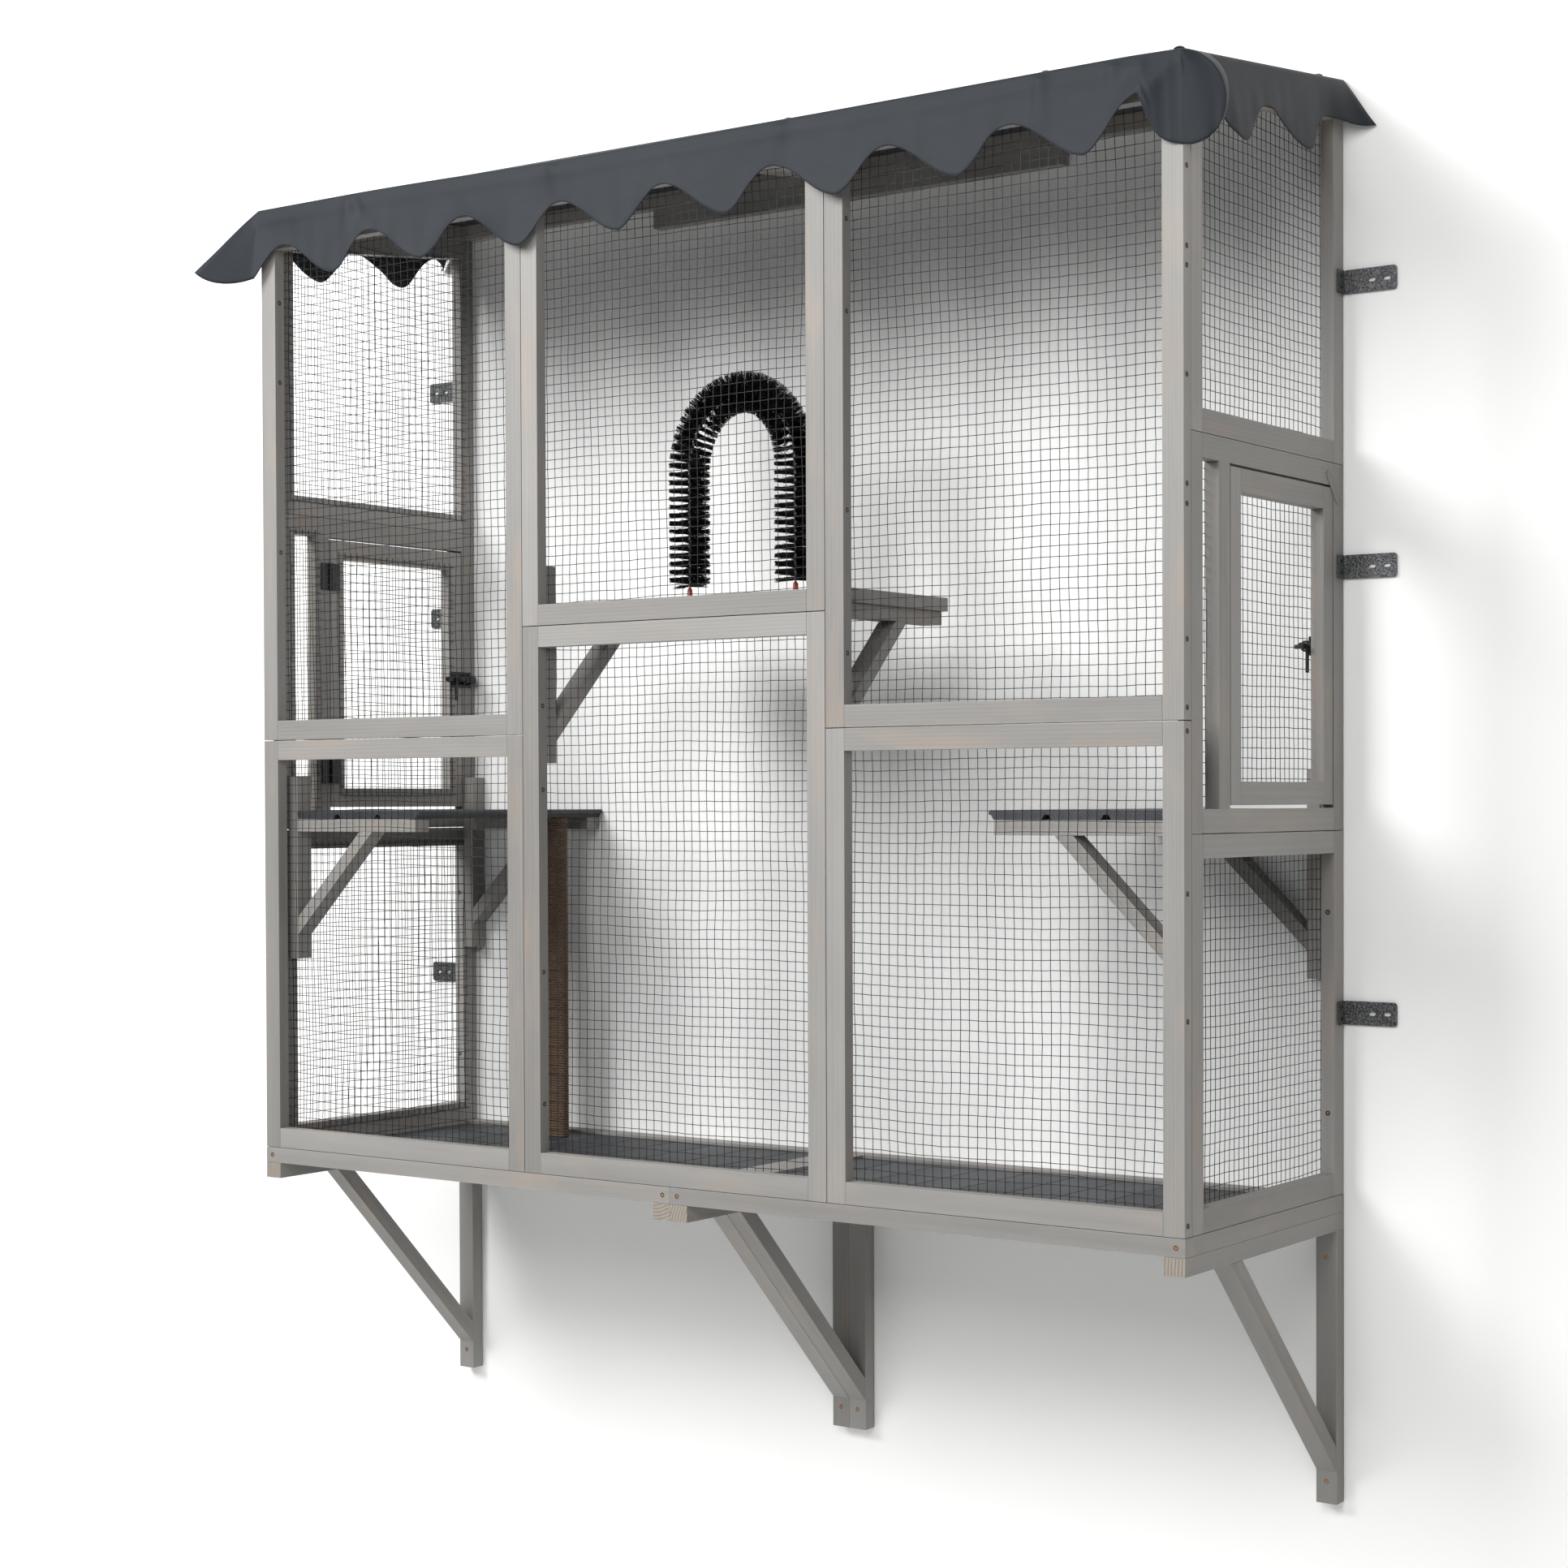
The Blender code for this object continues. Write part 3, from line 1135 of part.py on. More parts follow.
def build_roof_cover():
    """The fabric cover: a flat top and a scalloped skirt that flares at the corners."""
    place = slope_place() @ Matrix.Translation((0.0, 0.0, ROOF_TALL + GAP + COVER_THICK))
    shape = bmesh.new()
    found = {}
    rows = []
    ring = []
    for edge, way, reach in cover_stations():
        key = (round(edge.x, 6), round(edge.y, 6))
        if key not in found:
            found[key] = shape.verts.new(place @ edge)
            ring.append(found[key])
        start = place @ edge
        drop = [found[key]]
        for index in range(1, COVER_DROP_STEPS + 1):
            drop.append(shape.verts.new(start + way * reach * index / COVER_DROP_STEPS))
        rows.append(drop)
    for left, right in zip(rows, rows[1:]):
        for index in range(COVER_DROP_STEPS):
            quad = [left[index], right[index], right[index + 1], left[index + 1]]
            corners = []
            for vertex in quad:
                if vertex not in corners:
                    corners.append(vertex)
            shape.faces.new(corners)
    shape.faces.new(ring)
    bmesh.ops.recalc_face_normals(shape, faces=shape.faces)
    top = max(shape.faces, key=lambda face: face.calc_area())
    if top.normal.z < 0:
        bmesh.ops.reverse_faces(shape, faces=shape.faces)
    mesh = bpy.data.meshes.new("roof_cover")
    shape.to_mesh(mesh)
    shape.free()
    mesh.shade_smooth()
    mesh.set_sharp_from_angle(angle=math.radians(50))
    cover = add_object("roof_cover", mesh, FABRIC)
    shell = cover.modifiers.new("fabric_thickness", "SOLIDIFY")
    shell.thickness = COVER_THICK
    shell.offset = -1.0
    shell.use_even_offset = False


build_front()
build_sides()
build_floor()
build_braces()
build_shelves()
build_scratch_post()
build_brush_arch()
build_wall_angles()
build_roof_frames()
build_roof_cover()
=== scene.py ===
"""Window catio in grey-washed fir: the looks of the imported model.

Every length is in metres, in the model's own frame: +Z up, +X to the right seen
from the front, +Y towards the wall, with the origin on the wall plane.
"""
import math
import random

import bmesh
import bpy
from bpy.props import FloatProperty, IntProperty, PointerProperty
from mathutils import Matrix, Vector, noise


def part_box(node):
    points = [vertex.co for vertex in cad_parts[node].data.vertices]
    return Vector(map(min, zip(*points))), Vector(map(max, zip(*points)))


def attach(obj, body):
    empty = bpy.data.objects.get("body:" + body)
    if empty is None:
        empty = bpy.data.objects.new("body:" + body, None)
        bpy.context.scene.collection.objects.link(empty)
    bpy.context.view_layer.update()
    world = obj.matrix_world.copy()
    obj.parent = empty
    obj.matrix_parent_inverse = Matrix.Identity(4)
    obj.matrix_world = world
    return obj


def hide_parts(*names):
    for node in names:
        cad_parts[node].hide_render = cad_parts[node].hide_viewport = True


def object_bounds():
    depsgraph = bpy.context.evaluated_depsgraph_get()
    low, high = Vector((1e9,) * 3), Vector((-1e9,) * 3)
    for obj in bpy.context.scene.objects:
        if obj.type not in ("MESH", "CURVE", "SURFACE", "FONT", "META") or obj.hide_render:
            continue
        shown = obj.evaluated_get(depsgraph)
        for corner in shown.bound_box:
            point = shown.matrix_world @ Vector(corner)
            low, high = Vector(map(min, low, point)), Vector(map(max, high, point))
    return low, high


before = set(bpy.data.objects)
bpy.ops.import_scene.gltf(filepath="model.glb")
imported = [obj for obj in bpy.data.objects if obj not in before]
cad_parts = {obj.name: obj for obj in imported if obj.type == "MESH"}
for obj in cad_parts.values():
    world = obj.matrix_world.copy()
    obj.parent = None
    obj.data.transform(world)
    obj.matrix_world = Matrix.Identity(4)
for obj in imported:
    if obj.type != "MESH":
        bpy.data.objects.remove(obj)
CAD_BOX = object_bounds()

bl_info = {
    "name": "Window Catio",
    "version": (1, 0, 0),
    "blender": (4, 5, 0),
    "location": "3D View > Sidebar > Catio",
    "description": "Builds a wall-hung window catio piece by piece",
    "category": "Add Mesh",
}

# The body's sizes, as the solids have them
HALF_WIDE = 0.747
DEPTH = 0.434
FRONT_TALL = 1.330
ROOF_RISE = 0.056
BOARD_WIDE = 0.028
BOARD_THICK = 0.018
ROOF_BOARD = 0.022
BRACE_BOARD = 0.022
DOORWAY_FRONT = -0.318
DOORWAY_REAR = -0.028
SLOPE = math.atan2(ROOF_RISE, DEPTH)
SLOPE_LONG = DEPTH / math.cos(SLOPE)
HAIRLINE = 0.0003
SEAM = 0.0004
FRONT_BACK = BOARD_THICK - DEPTH
SIDE_OUTER = HALF_WIDE - HAIRLINE / 2
SIDE_INNER = SIDE_OUTER - BOARD_THICK
COLUMN_EDGE = 0.249
DOOR_SUNK = 0.0005

SIDES = (("left", -1), ("right", 1))
COLUMNS = ("left", "middle", "right")
BRACES = ("left", "middle_left", "middle_right", "right")


# Colours and materials
def linear(text):
    """The linear colour of an sRGB hex value."""
    values = [int(text[index:index + 2], 16) / 255 for index in (1, 3, 5)]
    parts = [v / 12.92 if v <= 0.04045 else ((v + 0.055) / 1.055) ** 2.4 for v in values]
    return (*parts, 1.0)


def feed(tree, node, inputs):
    """Give a node its inputs; each is a value or the socket that feeds it."""
    for key, value in inputs.items():
        socket = node.inputs[key]
        if isinstance(value, bpy.types.NodeSocket):
            tree.links.new(value, socket)
        else:
            socket.default_value = value


def add_node(tree, kind, inputs=None, **settings):
    """A node with its settings and inputs."""
    made = tree.nodes.new(kind)
    for key, value in settings.items():
        setattr(made, key, value)
    feed(tree, made, inputs or {})
    return made


def new_material(name):
    """A material with its Principled shader and node tree."""
    made = bpy.data.materials.new(name)
    made.use_nodes = True
    tree = made.node_tree
    return made, tree, tree.nodes["Principled BSDF"]


def ramp(tree, value, stops):
    """A colour ramp with stops of place and hex colour."""
    made = add_node(tree, "ShaderNodeValToRGB", {"Fac": value})
    band = made.color_ramp
    while len(band.elements) < len(stops):
        band.elements.new(0.5)
    for element, (place, color) in zip(band.elements, stops):
        element.position = place
        element.color = linear(color)
    return made.outputs["Color"]


def calc(tree, operation, first, second=0.0, third=0.0):
    """The result of a Math node."""
    return add_node(tree, "ShaderNodeMath", {0: first, 1: second, 2: third},
                    operation=operation).outputs[0]


def blend_colors(tree, share, first, second, mode="MIX"):
    """The result of mixing two colours."""
    made = add_node(tree, "ShaderNodeMix", {"Factor": share, "A": first, "B": second},
                    data_type="RGBA", blend_type=mode)
    return made.outputs["Result"]


def named(tree, name, output):
    """A value that the mesh carries by name."""
    return add_node(tree, "ShaderNodeAttribute", attribute_name=name).outputs[output]


def noise_of(tree, vector, scale, detail=3.0, roughness=0.5):
    """A noise's value at a place; three scales make the pattern longer one way."""
    if isinstance(scale, tuple):
        vector = stretched(tree, vector, scale)
        scale = 1.0
    return add_node(tree, "ShaderNodeTexNoise",
                    {"Vector": vector, "Scale": scale, "Detail": detail,
                     "Roughness": roughness}).outputs["Fac"]


def stretched(tree, vector, scale):
    """A place scaled by axis."""
    return add_node(tree, "ShaderNodeMapping", {"Vector": vector, "Scale": scale},
                    vector_type="POINT").outputs["Vector"]


def waves(tree, vector, scale, distortion, detail, inputs=None, **settings):
    """The value of a wave pattern at a place."""
    given = {"Vector": vector, "Scale": scale, "Distortion": distortion, "Detail": detail}
    return add_node(tree, "ShaderNodeTexWave", {**given, **(inputs or {})},
                    **settings).outputs["Fac"]


def relief(tree, height, strength, depth):
    """The normal of a relief with a depth in metres."""
    return add_node(tree, "ShaderNodeBump", {"Height": height, "Strength": strength,
                                             "Distance": depth}).outputs["Normal"]


def weighted(tree, parts):
    """The sum of values, each times its weight."""
    total = 0.0
    for value, weight in parts:
        total = calc(tree, "MULTIPLY_ADD", value, weight, total)
    return total


def object_place(tree):
    """The place on the piece in its own metres."""
    return add_node(tree, "ShaderNodeTexCoord").outputs["Object"]


def timber_material(name, dark, middle, light, edge, bare, roughness, contrast, warm):
    """Stained fir: parallel rings every 4 mm, fine fibres, worn arrises, open end grain."""
    made, tree, shader = new_material(name)
    grain = named(tree, "grain", "Vector")
    # growth rings 4 mm apart are drawn as bands wound by a slow noise
    rings = waves(tree, stretched(tree, grain, (0.07, 1.0, 1.0)), 72.0, 3.2, 2.0,
                  {"Detail Scale": 0.35, "Detail Roughness": 0.55}, wave_type="RINGS",
                  rings_direction="X")
    fibres = noise_of(tree, grain, (10.0, 620.0, 620.0), 4.0, 0.65)
    streaks = noise_of(tree, grain, (2.2, 60.0, 60.0), 3.0, 0.6)
    blotch = noise_of(tree, grain, (4.0, 16.0, 16.0), 2.0)
    mixed = weighted(tree, [(rings, 0.14 * contrast), (fibres, 0.50 * contrast),
                            (streaks, 0.45 * contrast), (blotch, 0.55 * contrast)])
    tone = calc(tree, "MULTIPLY_ADD", named(tree, "tone", "Fac"), 0.30, -0.15)
    mixed = calc(tree, "ADD", calc(tree, "ADD", mixed, tone), 0.5 - 0.82 * contrast)
    body = ramp(tree, mixed, [(0.12, dark), (0.5, middle), (0.86, light)])
    warmth = ramp(tree, noise_of(tree, grain, (7.0, 24.0, 24.0), 2.0),
                  [(0.52, "#000000"), (0.74, "#FFFFFF")])
    body = blend_colors(tree, calc(tree, "MULTIPLY", warmth, warm), body, linear("#A8907C"))
    worn = calc(tree, "MULTIPLY", named(tree, "edge", "Fac"), streaks)
    body = blend_colors(tree, calc(tree, "MULTIPLY", worn, 0.55), body, linear(edge))
    sawn = noise_of(tree, grain, (40.0, 90.0, 900.0), 3.0, 0.6)
    raw = ramp(tree, weighted(tree, [(sawn, 0.6), (rings, 0.5)]),
               [(0.2, bare[0]), (0.85, bare[1])])
    height = calc(tree, "MULTIPLY_ADD", rings, 0.35, fibres)
    feed(tree, shader, {
        "Base Color": blend_colors(tree, named(tree, "bare", "Fac"), body, raw),
        "Roughness": calc(tree, "MULTIPLY_ADD", fibres, 0.22, roughness - 0.11),
        "Normal": relief(tree, height, 0.28, 0.0006), "IOR": 1.48})
    return made


def coated_metal(name, low, high, roughness, grain_mm, depth, metallic=0.0):
    """Powder-coated or plastic-coated steel: a dull skin with fine orange peel."""
    made, tree, shader = new_material(name)
    place = object_place(tree)
    peel = noise_of(tree, place, 1000.0 / grain_mm, 2.0)
    dust = noise_of(tree, place, 45.0, 3.0, 0.6)
    color = ramp(tree, weighted(tree, [(dust, 0.6), (peel, 0.4)]), [(0.3, low), (0.75, high)])
    feed(tree, shader, {
        "Base Color": color, "Metallic": metallic, "Normal": relief(tree, peel, 0.6, depth),
        "Roughness": calc(tree, "MULTIPLY_ADD", dust, 0.2, roughness - 0.1)})
    return made


def hammered_metal(name, low, high):
    """Hammertone enamel on steel: shallow dimples 2 mm across that catch the light."""
    made, tree, shader = new_material(name)
    place = object_place(tree)
    cells = add_node(tree, "ShaderNodeTexVoronoi",
                     {"Vector": place, "Scale": 520.0, "Smoothness": 0.8},
                     feature="SMOOTH_F1").outputs["Distance"]
    speck = noise_of(tree, place, 900.0, 2.0)
    color = ramp(tree, weighted(tree, [(speck, 0.3), (cells, 0.8)]), [(0.25, low), (0.8, high)])
    feed(tree, shader, {
        "Base Color": color, "Metallic": 0.35, "Normal": relief(tree, cells, 0.7, 0.0006),
        "Roughness": calc(tree, "MULTIPLY_ADD", cells, 0.25, 0.28)})
    return made


def screw_material(name, low, high):
    """Yellow-passivated or bronzed screws: turned faces with a blotchy stain."""
    made, tree, shader = new_material(name)
    stain = noise_of(tree, object_place(tree), 700.0, 3.0, 0.6)
    feed(tree, shader, {
        "Base Color": ramp(tree, stain, [(0.3, low), (0.7, high)]), "Metallic": 1.0,
        "Roughness": calc(tree, "MULTIPLY_ADD", stain, 0.25, 0.30)})
    return made


def bristle_material(name):
    """Black nylon bristle: smooth round threads with a soft gloss."""
    made, tree, shader = new_material(name)
    shade = noise_of(tree, object_place(tree), 160.0, 2.0)
    feed(tree, shader, {
        "Base Color": ramp(tree, shade, [(0.3, "#030303"), (0.75, "#0C0C0C")]),
        "Roughness": calc(tree, "MULTIPLY_ADD", shade, 0.2, 0.42),
        "Specular IOR Level": 0.25})
    return made


def plastic_material(name, low, high):
    """Moulded plastic cap: even colour with faint flow marks."""
    made, tree, shader = new_material(name)
    flow = noise_of(tree, object_place(tree), 220.0, 2.0)
    feed(tree, shader, {"Base Color": ramp(tree, flow, [(0.3, low), (0.7, high)]),
                        "Roughness": 0.42})
    return made


def sisal_material(name):
    """Three-strand sisal rope: hairy brown fibres laid at a slant, 0.9 mm apart."""
    made, tree, shader = new_material(name)
    lay = named(tree, "lay", "Vector")
    strands = waves(tree, lay, 110.0, 2.5, 2.0, {"Detail Scale": 1.2}, wave_type="BANDS",
                    bands_direction="DIAGONAL")
    hairs = noise_of(tree, lay, (500.0, 1600.0, 500.0), 4.0, 0.7)
    patch = noise_of(tree, lay, 38.0, 3.0, 0.6)
    value = weighted(tree, [(patch, 0.35), (hairs, 0.55), (strands, 0.35)])
    height = calc(tree, "MULTIPLY_ADD", strands, 0.8, hairs)
    feed(tree, shader, {
        "Base Color": ramp(tree, value, [(0.25, "#35261C"), (0.6, "#604A3B"),
                                         (0.95, "#8D775E")]),
        "Roughness": 0.92, "Normal": relief(tree, height, 0.8, 0.0012)})
    return made


def cloth_material(name, low, high):
    """Coated polyester canvas: plain weave, drawn 2.4 mm coarse so that it shows."""
    made, tree, shader = new_material(name)
    cloth = named(tree, "cloth", "Vector")
    warp, weft = [waves(tree, cloth, 130.0, 0.6, 1.0, wave_type="BANDS",
                        bands_direction=way) for way in "XY"]
    weave = calc(tree, "MULTIPLY", warp, weft)
    slub = noise_of(tree, cloth, (14.0, 260.0, 14.0), 3.0, 0.6)
    fade = noise_of(tree, cloth, 6.0, 3.0, 0.55)
    value = weighted(tree, [(fade, 0.48), (slub, 0.30), (weave, 0.22)])
    # a row of stitches runs along the hem, 4 to 6 mm from its edge
    hem = named(tree, "hem", "Fac")
    stitch = add_node(tree, "ShaderNodeMapRange",
                      {"Value": hem, "From Min": 0.0048, "From Max": 0.0060, "To Min": 1.0,
                       "To Max": 0.0}, clamp=True).outputs["Result"]
    thread = calc(tree, "MULTIPLY", stitch, calc(tree, "GREATER_THAN", hem, 0.0038))
    color = blend_colors(tree, calc(tree, "MULTIPLY", thread, 0.5),
                         ramp(tree, value, [(0.25, low), (0.75, high)]), linear("#24272C"))
    height = calc(tree, "MULTIPLY_ADD", weave, 0.5, calc(tree, "MULTIPLY", thread, -1.0))
    feed(tree, shader, {
        "Base Color": color, "Normal": relief(tree, height, 0.25, 0.0005),
        "Roughness": calc(tree, "MULTIPLY_ADD", slub, 0.12, 0.62),
        "Specular IOR Level": 0.28, "Sheen Weight": 0.06, "Sheen Roughness": 0.5})
    return made


def floor_material(name):
    """Pale matt studio floor with a trace of unevenness."""
    made, tree, shader = new_material(name)
    cloud = noise_of(tree, object_place(tree), 0.8, 3.0, 0.5)
    feed(tree, shader, {"Base Color": ramp(tree, cloud, [(0.2, "#F5F5F4"), (0.8, "#FBFBFA")]),
                        "Roughness": 0.85})
    # the wall lets a view from behind it through
    behind = add_node(tree, "ShaderNodeNewGeometry").outputs["Backfacing"]
    clear = add_node(tree, "ShaderNodeBsdfTransparent")
    mixed = add_node(tree, "ShaderNodeMixShader", {0: behind, 1: shader.outputs[0],
                                                   2: clear.outputs[0]})
    feed(tree, tree.nodes["Material Output"], {"Surface": mixed.outputs[0]})
    return made


FINISH = {}


def make_finishes():
    """Every finish of the object, once."""
    FINISH["fir"] = timber_material("grey_washed_fir", "#6D6A66", "#858380", "#9A9895",
                                    "#A09C97", ("#756C63", "#9B9489"), 0.60, 0.42, 0.24)
    FINISH["board"] = timber_material("dark_grey_board", "#1E1F23", "#2F3236", "#46494E",
                                      "#57595A", ("#3E3C39", "#595652"), 0.58, 0.8, 0.0)
    FINISH["wire"] = coated_metal("black_mesh_wire", "#060607", "#131416", 0.42, 0.9, 0.0001)
    FINISH["steel"] = coated_metal("black_steel", "#0B0B0C", "#1E1E20", 0.40, 0.7, 0.0002,
                                   0.2)
    FINISH["hammered"] = hammered_metal("hammered_black_steel", "#0C0C0D", "#77787A")
    FINISH["brass"] = screw_material("brass_screw", "#6A4A2C", "#B98B58")
    FINISH["bronze"] = screw_material("bronzed_screw", "#2A241B", "#5E5440")
    FINISH["staple"] = coated_metal("zinc_staple", "#6E7072", "#A3A5A8", 0.35, 0.8, 0.0001,
                                    0.9)
    FINISH["twist"] = coated_metal("twisted_steel_wire", "#77797B", "#B4B6B8", 0.32, 0.8,
                                   0.0001, 0.9)
    FINISH["bristle"] = bristle_material("black_bristle")
    FINISH["red"] = plastic_material("red_cap", "#8E2A1E", "#B23A28")
    FINISH["sisal"] = sisal_material("sisal_rope")
    FINISH["cloth"] = cloth_material("slate_canvas", "#1B1F23", "#282D34")
    FINISH["floor"] = floor_material("studio_floor")


# Boards: their arrises, the ranges of the grain's shifts, and what counts as an end
FLAT_ROUND = 0.6
SHIFT_RANGES = ((0, 40), (-0.09, 0.09), (0.03, 0.12))
END_GRAIN = 0.9


class Boards:
    """Boards gathered into one mesh, each with its own grain."""

    def __init__(self, seed):
        self.dice = random.Random(seed)
        self.points = []
        self.faces = []
        self.grain = []
        self.tone = []
        self.edge = []
        self.bare = []

    def add(self, outline, low, high, axes, way, bare_ends=False, place=None, softness=None):
        """A board from its outline in a plane and its two depths across that plane."""
        u_axis, v_axis, w_axis = axes
        shape = bmesh.new()
        ring = [shape.verts.new(u_axis * u + v_axis * v + w_axis * low) for u, v in outline]
        cap = shape.faces.new(ring)
        grown = bmesh.ops.extrude_face_region(shape, geom=[cap])
        raised = [item for item in grown["geom"] if isinstance(item, bmesh.types.BMVert)]
        bmesh.ops.translate(shape, vec=w_axis * (high - low), verts=raised)
        bmesh.ops.recalc_face_normals(shape, faces=shape.faces)
        softness = softness or bpy.context.scene.catio_timber.softness
        made = bmesh.ops.bevel(shape, geom=list(shape.edges), offset=softness, segments=2,
                               profile=FLAT_ROUND, affect="EDGES")
        rounded = set(made["faces"])
        along = (u_axis * way[0] + v_axis * way[1]).normalized()
        across = along.cross(w_axis)
        shift = Vector([self.dice.uniform(*ends) for ends in SHIFT_RANGES])
        tone = self.dice.random()
        start = len(self.points)
        for index, vertex in enumerate(shape.verts):
            vertex.index = index
            spot = vertex.co
            self.grain.append(Vector((spot.dot(along), spot.dot(across), spot.dot(w_axis)))
                              + shift)
            self.points.append(place @ spot if place else spot.copy())
            self.tone.append(tone)
        for face in shape.faces:
            self.faces.append([start + vertex.index for vertex in face.verts])
            self.edge.append(1.0 if face in rounded else 0.0)
            end = abs(face.normal.dot(along)) > END_GRAIN and face not in rounded
            self.bare.append(1.0 if bare_ends and end else 0.0)
        shape.free()

    def box(self, low, high, way):
        """A board between two corners; way is X, Y or Z."""
        size = [high[index] - low[index] for index in range(3)]
        along = "XYZ".index(way)
        wide, thin = sorted({0, 1, 2} - {along}, key=lambda index: -size[index])
        self.add(rectangle(low[along], low[wide], high[along], high[wide]), low[thin],
                 high[thin], (unit(along), unit(wide), unit(thin)), (1, 0))

    def stand_for(self, node, finish="fir", body="catio", slot="grey_washed_fir"):
        """The boards' object, standing for a node."""
        return self.finish("boards_" + node, finish, body, [node], slot)

    def finish(self, name, finish, body, replaced=(), slot="grey_washed_fir"):
        """The boards' object, riding on a body."""
        mesh = bpy.data.meshes.new(name)
        mesh.from_pydata([tuple(point) for point in self.points], [], self.faces)
        store(mesh, "grain", self.grain)
        store(mesh, "tone", self.tone)
        store(mesh, "edge", self.edge, "FACE")
        store(mesh, "bare", self.bare, "FACE")
        mesh.validate()
        return place_piece(name, mesh, finish, body, replaced)


def store(mesh, name, values, domain="POINT"):
    """Give a mesh a named attribute of numbers or places."""
    if isinstance(values[0], float):
        mesh.attributes.new(name, "FLOAT", domain).data.foreach_set("value", values)
    else:
        flat = [part for value in values for part in value]
        mesh.attributes.new(name, "FLOAT_VECTOR", domain).data.foreach_set("vector", flat)


def unit(index):
    """The axis of a given number."""
    return Vector([float(number == index) for number in range(3)])


ACROSS = (unit(0), unit(2), unit(1))
ALONG = (unit(1), unit(2), unit(0))
LEVEL = (unit(0), unit(1), unit(2))


def place_piece(name, mesh, finish, body, replaced=()):
    """An object for a finished mesh, which rides on a body."""
    made = bpy.data.objects.new(name, mesh)
    bpy.context.scene.collection.objects.link(made)
    mesh.materials.clear()
    mesh.materials.append(FINISH[finish])
    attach(made, body)
    if replaced:
        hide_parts(*replaced)
    return made


def rectangle(low_u, low_v, high_u, high_v):
    """Corner points of a rectangle."""
    return [(low_u, low_v), (high_u, low_v), (high_u, high_v), (low_u, high_v)]


def four_boards(boards, low, high, thick_low, thick_high, axes):
    """A frame of two full stiles with rails between them, in a plane."""
    low_u, low_v = low
    high_u, high_v = high
    inner_low = low_u + BOARD_WIDE
    inner_high = high_u - BOARD_WIDE
    low_v += SEAM
    high_v -= SEAM
    for start, end in ((low_u + SEAM, inner_low), (inner_high, high_u - SEAM)):
        boards.add(rectangle(start, low_v, end, high_v), thick_low, thick_high, axes, (0, 1))
    for start, end in ((low_v, low_v + BOARD_WIDE), (high_v - BOARD_WIDE, high_v)):
        boards.add(rectangle(inner_low + HAIRLINE, start, inner_high - HAIRLINE, end),
                   thick_low, thick_high, axes, (1, 0))


def roof_under(y):
    """Height of the roof frames' underside."""
    return FRONT_TALL + HAIRLINE + (y + DEPTH) * math.tan(SLOPE)


def side_span(side):
    """Inner and outer face of a side board, in rising X."""
    return sorted((side * SIDE_INNER, side * SIDE_OUTER))


class CATIO_OT_front_panels(bpy.types.Operator):
    """Boards of the six front panels"""

    bl_idname = "catio.front_panels"
    bl_label = "Front panels"

    def execute(self, context):
        for seed, word in enumerate(COLUMNS):
            for level in ("lower", "upper"):
                node = "front_panel_" + word + "_" + level
                low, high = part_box(node)
                boards = Boards(10 + 2 * seed + (level == "upper"))
                four_boards(boards, (low.x, low.z), (high.x, high.z), low.y,
                            low.y + BOARD_THICK, ACROSS)
                boards.stand_for(node)
        return {"FINISHED"}


class CATIO_OT_side_panels(bpy.types.Operator):
    """Boards of the side panels and the door frames"""

    bl_idname = "catio.side_panels"
    bl_label = "Side panels"

    def execute(self, context):
        for word, side in SIDES:
            near, far = side_span(side)
            node = "side_panel_" + word + "_lower"
            low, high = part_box(node)
            boards = Boards(30 + side)
            four_boards(boards, (low.y, low.z), (high.y, high.z), near, far, ALONG)
            boards.stand_for(node)
            self.upper(word, side, near, far)
            self.door_frame(word, side, near, far)
        return {"FINISHED"}

    def upper(self, word, side, near, far):
        """The panel whose top rail follows the roof."""
        node = "side_panel_" + word + "_upper"
        low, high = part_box(node)
        boards = Boards(34 + side)
        inner_low = low.y + BOARD_WIDE
        inner_high = high.y - BOARD_WIDE

        def top(y, below=HAIRLINE):
            return (y, roof_under(y) - below)

        for start, end in ((low.y, inner_low), (inner_high, high.y)):
            boards.add([(start, low.z), (end, low.z), top(end), top(start)], near, far, ALONG,
                       (0, 1))
        start, end = inner_low + HAIRLINE, inner_high - HAIRLINE
        boards.add(rectangle(start, low.z, end, low.z + BOARD_WIDE), near, far, ALONG, (1, 0))
        boards.add([top(start, BOARD_WIDE), top(end, BOARD_WIDE), top(end), top(start)], near,
                   far, ALONG, (1, math.tan(SLOPE)))
        boards.stand_for(node)

    def door_frame(self, word, side, near, far):
        """Two stiles, a middle post and two rails round the doorway."""
        node = "door_frame_" + word
        low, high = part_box(node)
        boards = Boards(38 + side)
        four_boards(boards, (low.y, low.z), (high.y, high.z), near, far, ALONG)
        boards.add(rectangle(DOORWAY_FRONT - BOARD_WIDE, low.z + BOARD_WIDE + HAIRLINE,
                             DOORWAY_FRONT, high.z - BOARD_WIDE - HAIRLINE),
                   near, far, ALONG, (0, 1))
        boards.stand_for(node)


class CATIO_OT_doors(bpy.types.Operator):
    """Boards of the two hinged doors"""

    bl_idname = "catio.doors"
    bl_label = "Doors"

    def execute(self, context):
        for word, side in SIDES:
            node = "door_" + word
            low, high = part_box(node)
            near, far = side_span(side)
            if side == 1:
                far -= DOOR_SUNK
            else:
                near += DOOR_SUNK
            boards = Boards(50 + side)
            four_boards(boards, (low.y, low.z), (high.y, high.z), near, far, ALONG)
            boards.stand_for(node, body=node)
        return {"FINISHED"}


LEDGE_WIDE = 0.010
LEDGE_TALL = 0.008
BRACE_FOOT = 0.117
BRACE_ANGLE = math.radians(46.0)


